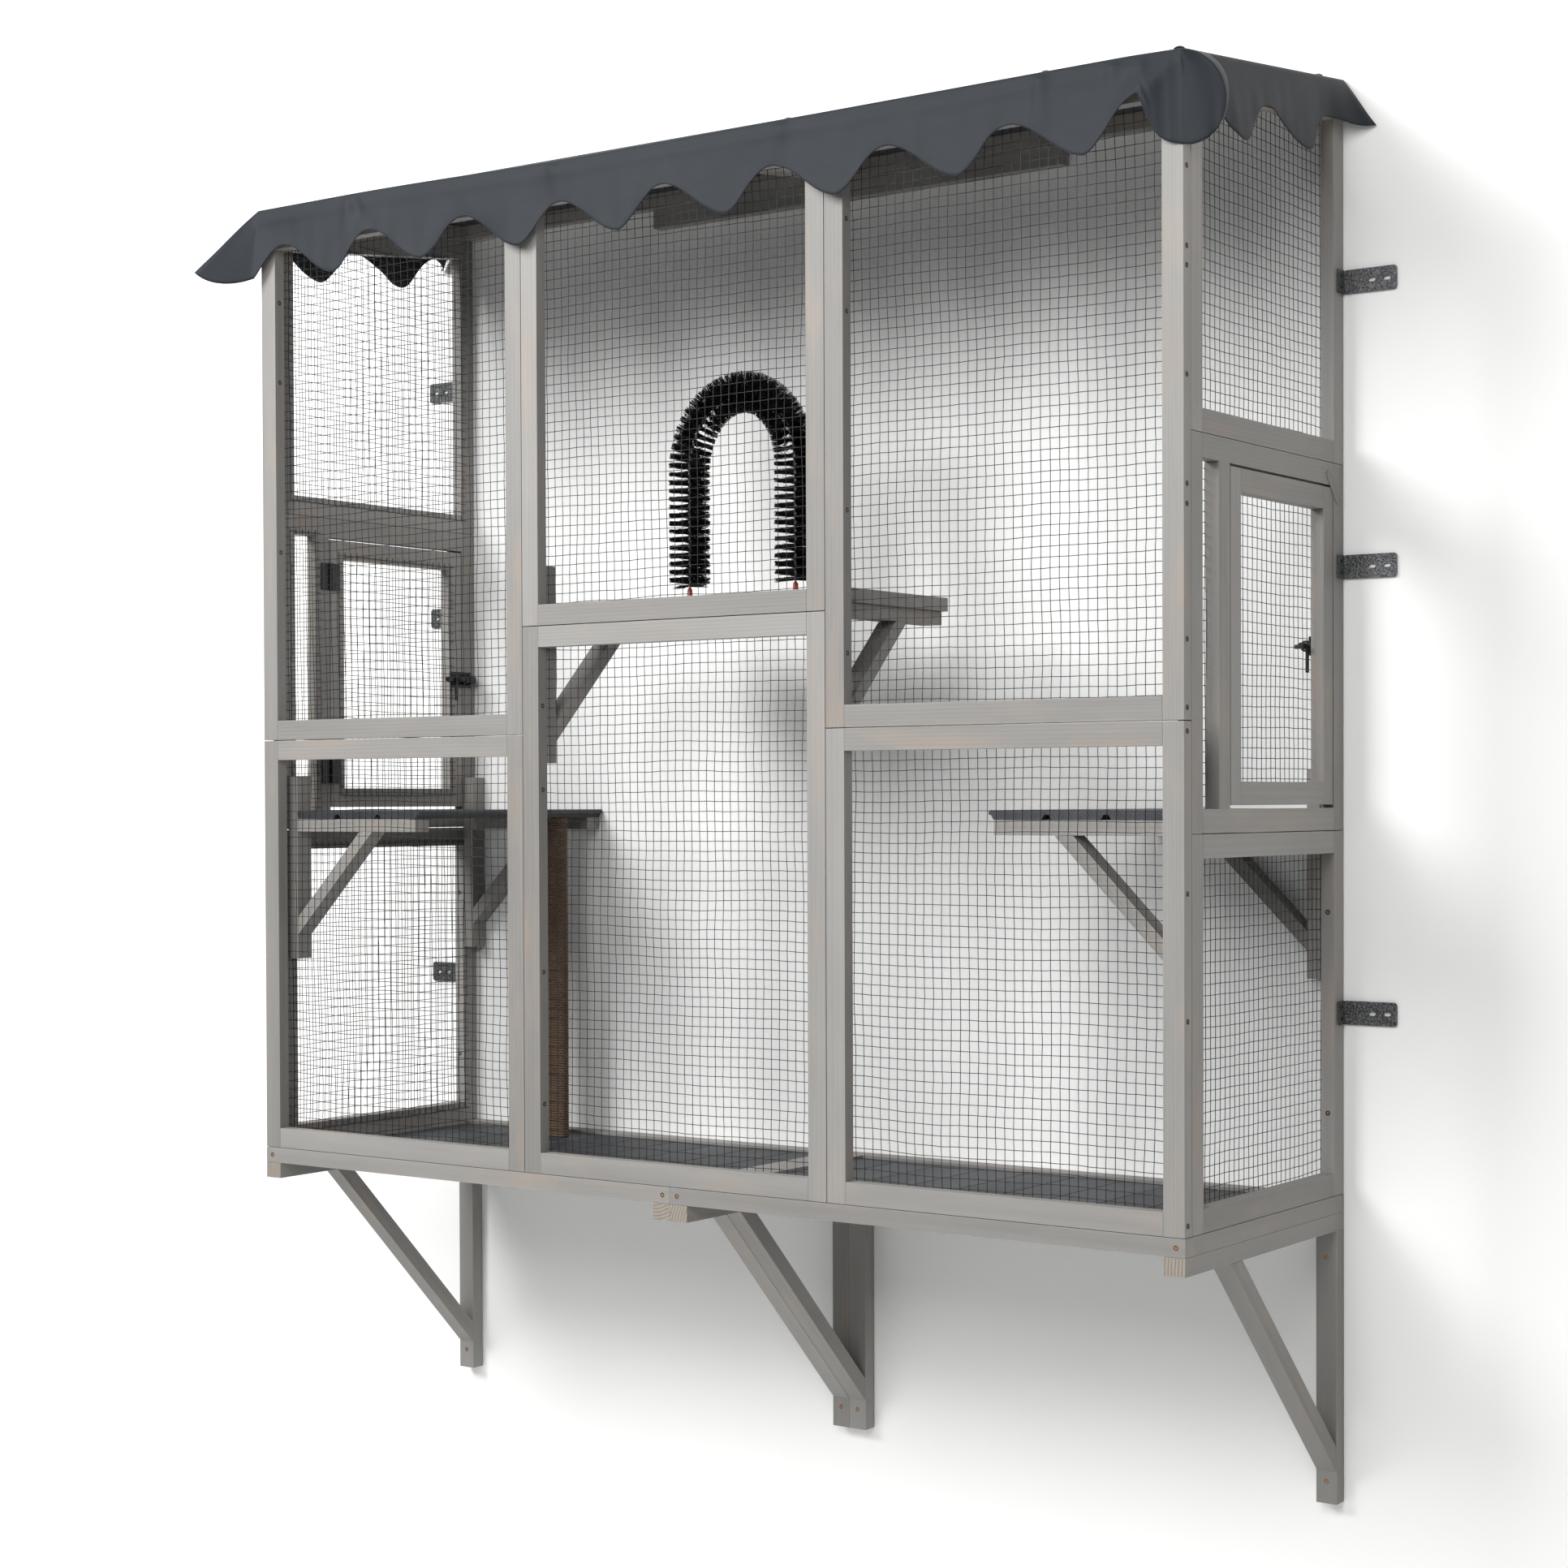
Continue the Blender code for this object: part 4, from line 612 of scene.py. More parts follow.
class CATIO_OT_base(bpy.types.Operator):
    """Floor frames and the braces under them"""

    bl_idname = "catio.base"
    bl_label = "Floor frames and braces"

    def execute(self, context):
        for seed, word in enumerate(("left", "right")):
            node = "base_frame_" + word
            low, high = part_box(node)
            boards = Boards(60 + seed)
            inner_low = low.y + BOARD_WIDE
            inner_high = high.y - BOARD_WIDE
            for start in (low.y, inner_high):
                boards.add(rectangle(low.x, start, high.x, start + BOARD_WIDE), low.z, high.z,
                           LEVEL, (1, 0))
            for start in (low.x, high.x - BOARD_WIDE):
                boards.add(rectangle(start, inner_low + HAIRLINE, start + BOARD_WIDE,
                                     inner_high - HAIRLINE), low.z, high.z, LEVEL, (0, 1))
            # a slat under the boards carries their ends
            for start in (inner_low, inner_high - LEDGE_WIDE):
                boards.add(rectangle(low.x + BOARD_WIDE, start, high.x - BOARD_WIDE,
                                     start + LEDGE_WIDE), low.z, low.z + LEDGE_TALL, LEVEL,
                           (1, 0))
            boards.stand_for(node)
        for seed, word in enumerate(BRACES):
            self.brace("wall_brace_" + word, 70 + seed)
        return {"FINISHED"}

    def brace(self, node, seed):
        """An arm under the floor, a leg on the wall and a diagonal between them."""
        low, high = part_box(node)
        boards = Boards(seed)
        top = high.z - BRACE_BOARD
        boards.add(rectangle(low.y, top, high.y, high.z), low.x, high.x, ALONG, (1, 0), True)
        top -= HAIRLINE
        boards.add(rectangle(high.y - BRACE_BOARD, low.z, high.y, top), low.x, high.x, ALONG,
                   (0, 1), True)
        outer_y = low.y + BRACE_FOOT
        inner_y = outer_y + BRACE_BOARD / math.sin(BRACE_ANGLE)
        wall = high.y - BRACE_BOARD - HAIRLINE
        steep = math.tan(BRACE_ANGLE)
        boards.add([(outer_y, top), (wall, top - (wall - outer_y) * steep),
                    (wall, top - (wall - inner_y) * steep), (inner_y, top)],
                   low.x + HAIRLINE, high.x - HAIRLINE, ALONG, (1, -steep))
        boards.stand_for(node)


# Sizes of a plank's end, and the turns after which its grain repeats
PLANK_BEVEL = 0.0018
PLANK_GAP = 0.014
PLANK_GAP_INNER = 0.006
PLANK_GAP_SHARE = 0.52
GRAIN_LONG = 37.0


def plank_outline(low_u, low_v, high_u, high_v):
    """A tongued board's end: small bevels above, a wide tapered gap below."""
    above = PLANK_BEVEL
    below, inner = PLANK_GAP / 2, PLANK_GAP_INNER / 2
    step = low_v + (high_v - low_v) * PLANK_GAP_SHARE
    return [(low_u + below, low_v), (high_u - below, low_v), (high_u - inner, step),
            (high_u, step), (high_u, high_v - above),
            (high_u - above, high_v), (low_u + above, high_v), (low_u, high_v - above),
            (low_u, step), (low_u + inner, step)]


def planks(boards, low, high, run, count, end_outline=plank_outline):
    """Boards side by side between two corners; run is the way they lie, X or Y."""
    run_axis = "XY".index(run)
    side_axis = 1 - run_axis
    wide = (high[side_axis] - low[side_axis]) / count
    axes = (unit(side_axis), unit(2), unit(run_axis))
    for index in range(count):
        start = low[side_axis] + index * wide
        outline = end_outline(start + HAIRLINE / 2, low[2], start + wide - HAIRLINE / 2,
                              high[2])
        add_plank(boards, outline, low[run_axis], high[run_axis], axes)


def add_plank(boards, outline, low, high, axes):
    """A plank whose outline is its end, so that its grain runs through the outline."""
    first = len(boards.points)
    boards.add(outline, low, high, axes, (1, 0))
    turn = boards.grain[first]
    slide = Vector((turn.x % GRAIN_LONG, 0.0, 0.0))
    for index in range(first, len(boards.points)):
        old = boards.grain[index]
        boards.grain[index] = Vector((old.z, old.x - turn.x + turn.y, old.y)) + slide


class CATIO_OT_floors(bpy.types.Operator):
    """Floor boards and the three shelves"""

    bl_idname = "catio.floors"
    bl_label = "Floor and shelves"

    def execute(self, context):
        for seed, word in enumerate(("left", "right")):
            for kind, count in (("floor_", 10), ("shelf_", 3)):
                low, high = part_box(kind + word)
                boards = Boards(80 + seed * 2 + count)
                planks(boards, low, high, "Y", count)
                boards.stand_for(kind + word, "board", slot="dark_grey_board")
        low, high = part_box("shelf_middle")
        boards = Boards(96)
        planks(boards, low, high, "X", 3, rectangle)
        boards.stand_for("shelf_middle")
        return {"FINISHED"}


SHELF_THICK = 0.012
MIDDLE_SHELF_THICK = 0.018
BRACKET_OVER = 0.050
BRACKET_REACH = 0.252
BRACKET_BRACE = 0.168


class CATIO_OT_brackets(bpy.types.Operator):
    """Wooden brackets that carry the shelves"""

    bl_idname = "catio.brackets"
    bl_label = "Shelf brackets"

    def execute(self, context):
        for seed, (word, side) in enumerate(SIDES):
            for spot in ("front", "rear"):
                self.bracket("shelf_bracket_" + word + "_" + spot, ACROSS, side,
                             100 + 2 * seed + (spot == "rear"), SHELF_THICK)
            self.bracket("shelf_bracket_middle_" + word, ALONG, -1, 110 + seed,
                         MIDDLE_SHELF_THICK)
        return {"FINISHED"}

    def bracket(self, node, axes, side, seed, shelf):
        """A post on the frame, an arm under the shelf and a diagonal between them."""
        low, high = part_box(node)
        if axes is ACROSS:
            wall = high.x if side == 1 else low.x
            out, depth_low, depth_high = -side, low.y, high.y
        else:
            wall, out, depth_low, depth_high = low.y, 1, low.x, high.x
        top = high.z - BRACKET_OVER - shelf - HAIRLINE
        thick = BOARD_THICK
        boards = Boards(seed)

        def put(corners, way):
            points = [(wall + out * u, v) for u, v in corners]
            boards.add(points, depth_low, depth_high, axes, (out * way[0], way[1]))

        edge = thick + HAIRLINE
        foot = top - thick - HAIRLINE
        inner = BRACKET_BRACE - thick / math.sin(math.radians(45))
        put(rectangle(0, low.z, thick, high.z), (0, 1))
        put(rectangle(edge, top - thick, BRACKET_REACH, top), (1, 0))
        put([(BRACKET_BRACE, foot), (inner, foot), (edge, foot - (inner - edge)),
             (edge, foot - (BRACKET_BRACE - edge))], (1, 1))
        boards.stand_for(node)


def slope_place(height=0.0):
    """The place of what lies on the roof frames, from the front edge upwards."""
    return (Matrix.Translation((0.0, -DEPTH, FRONT_TALL + HAIRLINE))
            @ Matrix.Rotation(SLOPE, 4, "X") @ Matrix.Translation((0.0, 0.0, height)))


class CATIO_OT_roof_frames(bpy.types.Operator):
    """The two roof frames and the batten that joins them"""

    bl_idname = "catio.roof_frames"
    bl_label = "Roof frames"

    def execute(self, context):
        slope = slope_place()
        for seed, word in enumerate(("left", "right")):
            node = "roof_frame_" + word
            low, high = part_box(node)
            boards = Boards(120 + seed)
            for start in (0.0, SLOPE_LONG - BOARD_WIDE):
                boards.add(rectangle(low.x, start, high.x, start + BOARD_WIDE), 0.0, ROOF_BOARD,
                           LEVEL, (1, 0), place=slope)
            for start in (low.x, high.x - BOARD_WIDE):
                boards.add(rectangle(start, BOARD_WIDE + HAIRLINE, start + BOARD_WIDE,
                                     SLOPE_LONG - BOARD_WIDE - HAIRLINE), 0.0, ROOF_BOARD,
                           LEVEL, (0, 1), place=slope)
            boards.stand_for(node)
        low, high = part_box("roof_batten")
        boards = Boards(124)
        boards.box(low, high, "X")
        boards.stand_for("roof_batten")
        return {"FINISHED"}


# Geometry node trees
def new_tree(name, sockets):
    """A geometry node tree with named inputs, and those inputs' sockets."""
    tree = bpy.data.node_groups.new(name, "GeometryNodeTree")
    tree.interface.new_socket("Geometry", in_out="INPUT", socket_type="NodeSocketGeometry")
    for label, kind in sockets:
        tree.interface.new_socket(label, in_out="INPUT", socket_type="NodeSocket" + kind)
    tree.interface.new_socket("Geometry", in_out="OUTPUT", socket_type="NodeSocketGeometry")
    return tree, tree.nodes.new("NodeGroupInput").outputs


def end_tree(tree, geometry, material):
    """Realize what a tree made, give it its material and send it out."""
    real = add_node(tree, "GeometryNodeRealizeInstances", {"Geometry": geometry})
    painted = add_node(tree, "GeometryNodeSetMaterial",
                       {"Geometry": real.outputs[0], "Material": material})
    feed(tree, tree.nodes.new("NodeGroupOutput"), {0: painted.outputs[0]})


def vector_of(tree, **parts):
    """A vector from its parts by axis."""
    return add_node(tree, "ShaderNodeCombineXYZ", parts).outputs[0]


def vector_calc(tree, operation, first, second):
    """The result of a Vector Math node; SCALE takes a number second."""
    key = "Scale" if operation == "SCALE" else 1
    return add_node(tree, "ShaderNodeVectorMath", {0: first, key: second},
                    operation=operation).outputs[0]


def row_of_points(tree, count, start, step):
    """Points one step apart from a start."""
    return add_node(tree, "GeometryNodeMeshLine",
                    {"Count": count, "Start Location": start, "Offset": step},
                    mode="OFFSET").outputs[0]


def straight(tree, near, far):
    """A straight curve between two places."""
    return add_node(tree, "GeometryNodeCurvePrimitiveLine", {"Start": near, "End": far},
                    mode="POINTS").outputs[0]


def copies(tree, points, piece, **inputs):
    """Instances of a piece on points."""
    return add_node(tree, "GeometryNodeInstanceOnPoints",
                    {"Points": points, "Instance": piece, **inputs}).outputs[0]


def moved(tree, geometry, shift):
    """Geometry with its points shifted."""
    return add_node(tree, "GeometryNodeSetPosition",
                    {"Geometry": geometry, "Offset": shift}).outputs[0]


def tube(tree, curve, sides, radius, caps=True):
    """A tube of a few sides along a curve."""
    ring = add_node(tree, "GeometryNodeCurvePrimitiveCircle",
                    {"Resolution": sides, "Radius": radius}, mode="RADIUS")
    return add_node(tree, "GeometryNodeCurveToMesh",
                    {"Curve": curve, "Profile Curve": ring.outputs[0],
                     "Fill Caps": caps}).outputs[0]


def centred_noise(tree, scale, seed=None):
    """A noise of place with three parts, about zero."""
    spot = tree.nodes.new("GeometryNodeInputPosition").outputs[0]
    inputs = {"Vector": spot, "Scale": scale, "Detail": 1.0}
    settings = {}
    if seed is not None:
        inputs["W"] = seed
        settings["noise_dimensions"] = "4D"
    cloud = add_node(tree, "ShaderNodeTexNoise", inputs, **settings).outputs["Color"]
    return vector_calc(tree, "SUBTRACT", cloud, (0.5, 0.5, 0.5))


def grown_mesh(holder_data, tree, values, place=None):
    """The plain mesh that a tree makes from a holder, set in its place."""
    holder = bpy.data.objects.new("holder", holder_data)
    bpy.context.scene.collection.objects.link(holder)
    step = holder.modifiers.new("grow", "NODES")
    step.node_group = tree
    for item in tree.interface.items_tree:
        if item.in_out == "INPUT" and item.name in values:
            step[item.identifier] = values[item.name]
    graph = bpy.context.evaluated_depsgraph_get()
    mesh = bpy.data.meshes.new_from_object(holder.evaluated_get(graph),
                                           preserve_all_data_layers=True, depsgraph=graph)
    bpy.data.objects.remove(holder, do_unlink=True)
    if place is not None:
        mesh.transform(place)
        if place.determinant() < 0:
            mesh.flip_normals()
    return mesh


# Nets: how far they lap the boards, and their waves as (scale, share)
NET_LAP = 0.009
NET_WAVES = ((5.0, 1.0), (40.0, 0.22))
LAYER_LIFT = 2.5
CUT_MARGIN = 0.0005
WIRE_SIDES = 5
SEED_STEP = 3.7


def wire_layer(tree, given, run, side):
    """One layer of parallel wires: the axis along which they run and the one across."""
    pitch = given["Pitch"]
    low, high = given["Low " + side], given["High " + side]
    span = calc(tree, "SUBTRACT", high, low)
    count = calc(tree, "ADD", calc(tree, "FLOOR", calc(tree, "DIVIDE", span, pitch)), 1.0)
    upright = run == "V"
    depth = given["Wire Radius"] if upright else calc(tree, "MULTIPLY", given["Wire Radius"],
                                                      LAYER_LIFT)
    side_key, run_key = ("X", "Y") if upright else ("Y", "X")
    line = row_of_points(tree, count, vector_of(tree, **{side_key: low, "Z": depth}),
                         vector_of(tree, **{side_key: pitch}))
    wire = straight(tree, vector_of(tree, **{run_key: given["Low " + run]}),
                    vector_of(tree, **{run_key: given["High " + run]}))
    parts = add_node(tree, "GeometryNodeResampleCurve", {"Curve": wire, "Length": pitch},
                     mode="LENGTH")
    return copies(tree, line, parts.outputs[0])


def wire_tree():
    """Welded mesh: two layers of thin wires, waved a little, cut along a slope."""
    tree, given = new_tree("wire_mesh", [
        (name, "Float") for name in ("Low U", "High U", "Low V", "High V", "Slope", "Pitch",
                                     "Wire Radius", "Wave", "Seed")]
        + [("Material", "Material")])
    both = add_node(tree, "GeometryNodeJoinGeometry")
    for run, side in ("VU", "UV"):
        feed(tree, both, {0: wire_layer(tree, given, run, side)})
    real = add_node(tree, "GeometryNodeRealizeInstances", {"Geometry": both.outputs[0]})
    spot = tree.nodes.new("GeometryNodeInputPosition").outputs[0]
    split = add_node(tree, "ShaderNodeSeparateXYZ", {"Vector": spot})
    short = calc(tree, "MULTIPLY", calc(tree, "SUBTRACT", given["High U"],
                                        split.outputs["X"]), given["Slope"])
    top = calc(tree, "SUBTRACT", given["High V"], short)
    over = add_node(tree, "FunctionNodeCompare",
                    {"A": split.outputs["Y"], "B": calc(tree, "ADD", top, CUT_MARGIN)},
                    data_type="FLOAT", operation="GREATER_THAN")
    kept = add_node(tree, "GeometryNodeDeleteGeometry",
                    {"Geometry": real.outputs[0], "Selection": over.outputs[0]}, domain="POINT")
    slow, quick = [vector_calc(tree, "MULTIPLY", centred_noise(tree, scale, given["Seed"]),
                               (share, share, 0.0)) for scale, share in NET_WAVES]
    shift = vector_calc(tree, "SCALE", vector_calc(tree, "ADD", slow, quick), given["Wave"])
    bent = moved(tree, kept.outputs[0], shift)
    end_tree(tree, tube(tree, bent, WIRE_SIDES, given["Wire Radius"]), given["Material"])
    return tree


def net_places():
    """Each net: its node, its body, the window in its plane, its slope and its place."""
    place = Matrix(((1, 0, 0, 0), (0, 0, 1, FRONT_BACK), (0, 1, 0, 0), (0, 0, 0, 1)))
    for word in COLUMNS:
        for level in ("lower", "upper"):
            node = "front_panel_" + word + "_" + level
            low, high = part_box(node)
            yield node, "catio", (low.x, low.z, high.x, high.z), 0.0, place
    for word, side in SIDES:
        place = Matrix(((0, 0, -side, side * SIDE_INNER), (1, 0, 0, 0), (0, 1, 0, 0),
                        (0, 0, 0, 1)))
        for node, slope in (("side_panel_" + word + "_lower", 0.0),
                            ("side_panel_" + word + "_upper", math.tan(SLOPE)),
                            ("door_frame_" + word, 0.0), ("door_" + word, 0.0)):
            low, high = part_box(node)
            body = node if node == "door_" + word else "catio"
            rear = DOORWAY_FRONT if node.startswith("door_frame") else high.y
            yield node, body, (low.y, low.z, rear, high.z), slope, place


class CATIO_OT_wire_mesh(bpy.types.Operator):
    """Wire mesh on the inner face of every frame"""

    bl_idname = "catio.wire_mesh"
    bl_label = "Wire mesh"

    def execute(self, context):
        settings = context.scene.catio_mesh
        tree = wire_tree()
        inset = BOARD_WIDE - NET_LAP
        for seed, (node, body, window, slope, place) in enumerate(net_places()):
            low_u, low_v, high_u, high_v = window
            values = {"Low U": low_u + inset, "High U": high_u - inset,
                      "Low V": low_v + inset, "High V": high_v - inset, "Slope": slope,
                      "Pitch": settings.pitch, "Wire Radius": settings.wire / 2,
                      "Wave": settings.wave, "Seed": seed * SEED_STEP,
                      "Material": FINISH["wire"]}
            mesh = grown_mesh(bpy.data.meshes.new("net"), tree, values, place)
            place_piece("wire_" + node, mesh, "wire", body)
        return {"FINISHED"}


def scatter_tree():
    """Copies of one small piece on points that carry their turn."""
    tree, given = new_tree("scatter", [("Piece", "Object"), ("Material", "Material")])
    piece = add_node(tree, "GeometryNodeObjectInfo", {"Object": given["Piece"]},
                     transform_space="ORIGINAL").outputs["Geometry"]
    turn = add_node(tree, "GeometryNodeInputNamedAttribute", {"Name": "turn"},
                    data_type="FLOAT_VECTOR").outputs["Attribute"]
    spin = add_node(tree, "FunctionNodeEulerToRotation", {"Euler": turn}).outputs[0]
    placed = copies(tree, given["Geometry"], piece, Rotation=spin)
    end_tree(tree, placed, given["Material"])
    return tree


def scatter(name, tree, pattern, places, finish, body):
    """One object of copies of a pattern; a place is a point, the way it faces and a spin."""
    holder = bpy.data.meshes.new(name)
    holder.from_pydata([tuple(point) for point, _, _ in places], [], [])
    angles = []
    for _, facing, spin in places:
        upright = Vector(facing).to_track_quat("Z", "Y").to_matrix()
        angles.append((upright @ Matrix.Rotation(spin, 3, "Z")).to_euler())
    store(holder, "turn", angles)
    stand = bpy.data.objects.new(name + "_pattern", pattern)
    bpy.context.scene.collection.objects.link(stand)
    mesh = grown_mesh(holder, tree, {"Piece": stand, "Material": FINISH[finish]})
    bpy.data.objects.remove(stand, do_unlink=True)
    return place_piece(name, mesh, finish, body)


# Small pieces: how round they are made, and their sizes
ROUND_STEPS = 20
MERGE_WITHIN = 0.00001
SHARP_OVER = 40
SCREW_SHARES = (0.17, 0.58, 0.45, 0.06)
SCREW_RIM, SCREW_TAPER, SCREW_SINK = 0.4, 0.6, 0.3
STAPLE_HALF, STAPLE_RISE, STAPLE_WIRE = 0.0048, 0.0019, 0.0006
STAPLE_TURN, STAPLE_LEG = 0.0005, 0.0004
SNAP_CAP = ((0.0, 0.0030), (0.0025, 0.0028), (0.0045, 0.0021), (0.0056, 0.0012),
            (0.0062, 0.0010), (0.0065, 0.0005), (0.0063, 0.0))
BRUSH_FOOT_CAP = ((0.0, 0.0215), (0.0022, 0.0212), (0.0034, 0.0195), (0.0040, 0.0080),
                  (0.0056, 0.0070), (0.0062, 0.0055), (0.0062, 0.0), (0.0, 0.0))


def mesh_of(shape, name, smooth=0.0):
    """A mesh from a finished bmesh."""
    mesh = bpy.data.meshes.new(name)
    bmesh.ops.recalc_face_normals(shape, faces=shape.faces)
    shape.to_mesh(mesh)
    shape.free()
    if smooth:
        mesh.shade_smooth()
        mesh.set_sharp_from_angle(angle=math.radians(smooth))
    return mesh


def spun(profile, name, at=(0.0, 0.0, 0.0)):
    """A round piece from its profile of radius and height, standing at a place."""
    shape = bmesh.new()
    points = [shape.verts.new((radius, 0.0, height)) for radius, height in profile]
    edges = [shape.edges.new(pair) for pair in zip(points, points[1:])]
    bmesh.ops.spin(shape, geom=points + edges, cent=(0, 0, 0), axis=(0, 0, 1),
                   angle=2 * math.pi, steps=ROUND_STEPS, use_merge=True)
    bmesh.ops.remove_doubles(shape, verts=shape.verts, dist=MERGE_WITHIN)
    bmesh.ops.holes_fill(shape, edges=[edge for edge in shape.edges if edge.is_boundary])
    bmesh.ops.translate(shape, vec=at, verts=shape.verts)
    return mesh_of(shape, name, SHARP_OVER)


def join_rows(shape, near, far):
    """Faces between two closed rows of corners."""
    for index in range(len(near)):
        after = (index + 1) % len(near)
        shape.faces.new((near[index], near[after], far[after], far[index]))


def screw_head(radius):
    """A countersunk head with a cross recess, facing up at its origin."""
    shape = bmesh.new()
    arm, long, deep, proud = [radius * share for share in SCREW_SHARES]
    cross = [(long, -arm), (long, arm), (arm, arm), (arm, long), (-arm, long), (-arm, arm),
             (-long, arm), (-long, -arm), (-arm, -arm), (-arm, -long), (arm, -long),
             (arm, -arm)]
    rim = []
    for u, v in cross:
        way = Vector((u, v)).normalized()
        rim.append(shape.verts.new((way.x * radius, way.y * radius, proud * SCREW_RIM)))
    top = [shape.verts.new((u, v, proud)) for u, v in cross]
    low = [shape.verts.new((u * SCREW_TAPER, v * SCREW_TAPER, -deep)) for u, v in cross]
    base = [shape.verts.new((vertex.co.x, vertex.co.y, -radius * SCREW_SINK)) for vertex in rim]
    join_rows(shape, base, rim)
    join_rows(shape, rim, top)
    join_rows(shape, top, low)
    shape.faces.new(low)
    shape.faces.new(list(reversed(base)))
    return mesh_of(shape, "screw_head")


def staple_piece():
    """A wire staple's crown and the start of its legs, across a mesh wire."""
    shape = bmesh.new()
    half, rise, turn, leg = STAPLE_HALF, STAPLE_RISE, STAPLE_TURN, STAPLE_LEG
    path = [(-half, -leg), (-half, rise - turn), (turn - half, rise), (half - turn, rise),
            (half, rise - turn), (half, -leg)]
    rows = []
    for index, (u, z) in enumerate(path):
        before = path[max(index - 1, 0)]
        after = path[min(index + 1, len(path) - 1)]
        way = Vector((after[0] - before[0], after[1] - before[1])).normalized()
        side = Vector((-way.y, way.x)) * STAPLE_WIRE / 2
        rows.append([shape.verts.new((u + out * side.x, over * STAPLE_WIRE / 2,
                                      z + out * side.y))
                     for out, over in ((1, -1), (1, 1), (-1, 1), (-1, -1))])
    for near, far in zip(rows, rows[1:]):
        join_rows(shape, near, far)
    shape.faces.new(rows[0])
    shape.faces.new(list(reversed(rows[-1])))
    return mesh_of(shape, "staple")


# Heights of the screws at the corners, and on the posts' faces that look right
CORNER_SCREWS = (0.014, 0.248, 0.394, 0.580, 0.607, 0.685, 0.839, 0.862, 0.986, 1.110,
                 1.132, 1.223)
POST_SCREWS = {BOARD_WIDE - HALF_WIDE: (0.865, 1.111, 1.226),
               BOARD_WIDE - COLUMN_EDGE: (0.094, 0.272, 0.518, 0.631),
               BOARD_WIDE + COLUMN_EDGE: (0.685, 0.862, 1.108, 1.222)}
REAR_SCREWS = (0.105, 0.359)
BASE_SCREWS = (-0.735, -0.012, 0.012, 0.735)
BASE_SCREW_HIGH = -0.011
BRACE_SCREWS = (-0.079, -0.364)
CORNER_IN, POST_IN = 0.008, 0.009
ANGLE_FACE, ANGLE_IN, ANGLE_SPREAD = 0.0023, -0.010, 0.0075
LEAF_THICK, LEAF_IN, LEAF_SPREAD = 0.0015, 0.0085, 0.012
BIG_HEAD, SMALL_HEAD = 0.0033, 0.0026
MOST_TURN = 3


class CATIO_OT_screws(bpy.types.Operator):
    """Screws in the boards, hinges and angles"""

    bl_idname = "catio.screws"
    bl_label = "Screws"

    def execute(self, context):
        tree = scatter_tree()
        dice = random.Random(5)

        def put(group, place, facing):
            group.append((place, facing, dice.random() * MOST_TURN))

        outside, posts, inside = [], [], []
        for _, side in SIDES:
            for height in CORNER_SCREWS:
                put(posts, (side * SIDE_OUTER, -DEPTH + CORNER_IN, height), (side, 0, 0))
            for height in REAR_SCREWS:
                put(inside, (side * (HALF_WIDE - POST_IN), -BOARD_WIDE, height), (0, -1, 0))
        for x, heights in POST_SCREWS.items():
            for height in heights:
                put(inside, (x + HAIRLINE / 2, -DEPTH + POST_IN, height), (1, 0, 0))
        for x in BASE_SCREWS:
            put(outside, (x, -DEPTH, BASE_SCREW_HIGH), (0, -1, 0))
        for word in BRACES:
            low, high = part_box("wall_brace_" + word)
            for height in BRACE_SCREWS:
                put(outside, ((low.x + high.x) / 2, -BRACE_BOARD, height), (0, -1, 0))
        scatter("base_screws", tree, screw_head(BIG_HEAD), outside, "brass", "catio")
        scatter("post_screws", tree, screw_head(BIG_HEAD), posts + inside, "bronze", "catio")
        small, on_doors = [], {"door_left": [], "door_right": []}
        for word, side in SIDES:
            for spot in ("lower", "middle", "upper"):
                low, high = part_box("wall_angle_" + word + "_" + spot)
                middle = (low.z + high.z) / 2
                for shift in (-ANGLE_SPREAD, ANGLE_SPREAD):
                    put(small, (side * (HALF_WIDE + ANGLE_FACE), ANGLE_IN, middle + shift),
                        (side, 0, 0))
            face = side * (SIDE_INNER - 2 * HAIRLINE - LEAF_THICK)
            for spot in ("lower", "upper"):
                for part, group in (("post", small), ("door", on_doors["door_" + word])):
                    low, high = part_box("hinge_" + part + "_leaf_" + word + "_" + spot)
                    near = low.y + LEAF_IN if part == "post" else high.y - LEAF_IN
                    middle = (low.z + high.z) / 2
                    for shift in (-LEAF_SPREAD, LEAF_SPREAD):
                        put(group, (face, near, middle + shift), (-side, 0, 0))
        scatter("small_screws", tree, screw_head(SMALL_HEAD), small, "steel", "catio")
        for body, places in on_doors.items():
            scatter("hinge_screws_" + body, tree, screw_head(SMALL_HEAD), places, "steel", body)
        return {"FINISHED"}


STAPLE_LAP = 0.006
STAPLE_TILT = 0.15
STAPLE_SKEW = (913, 377)


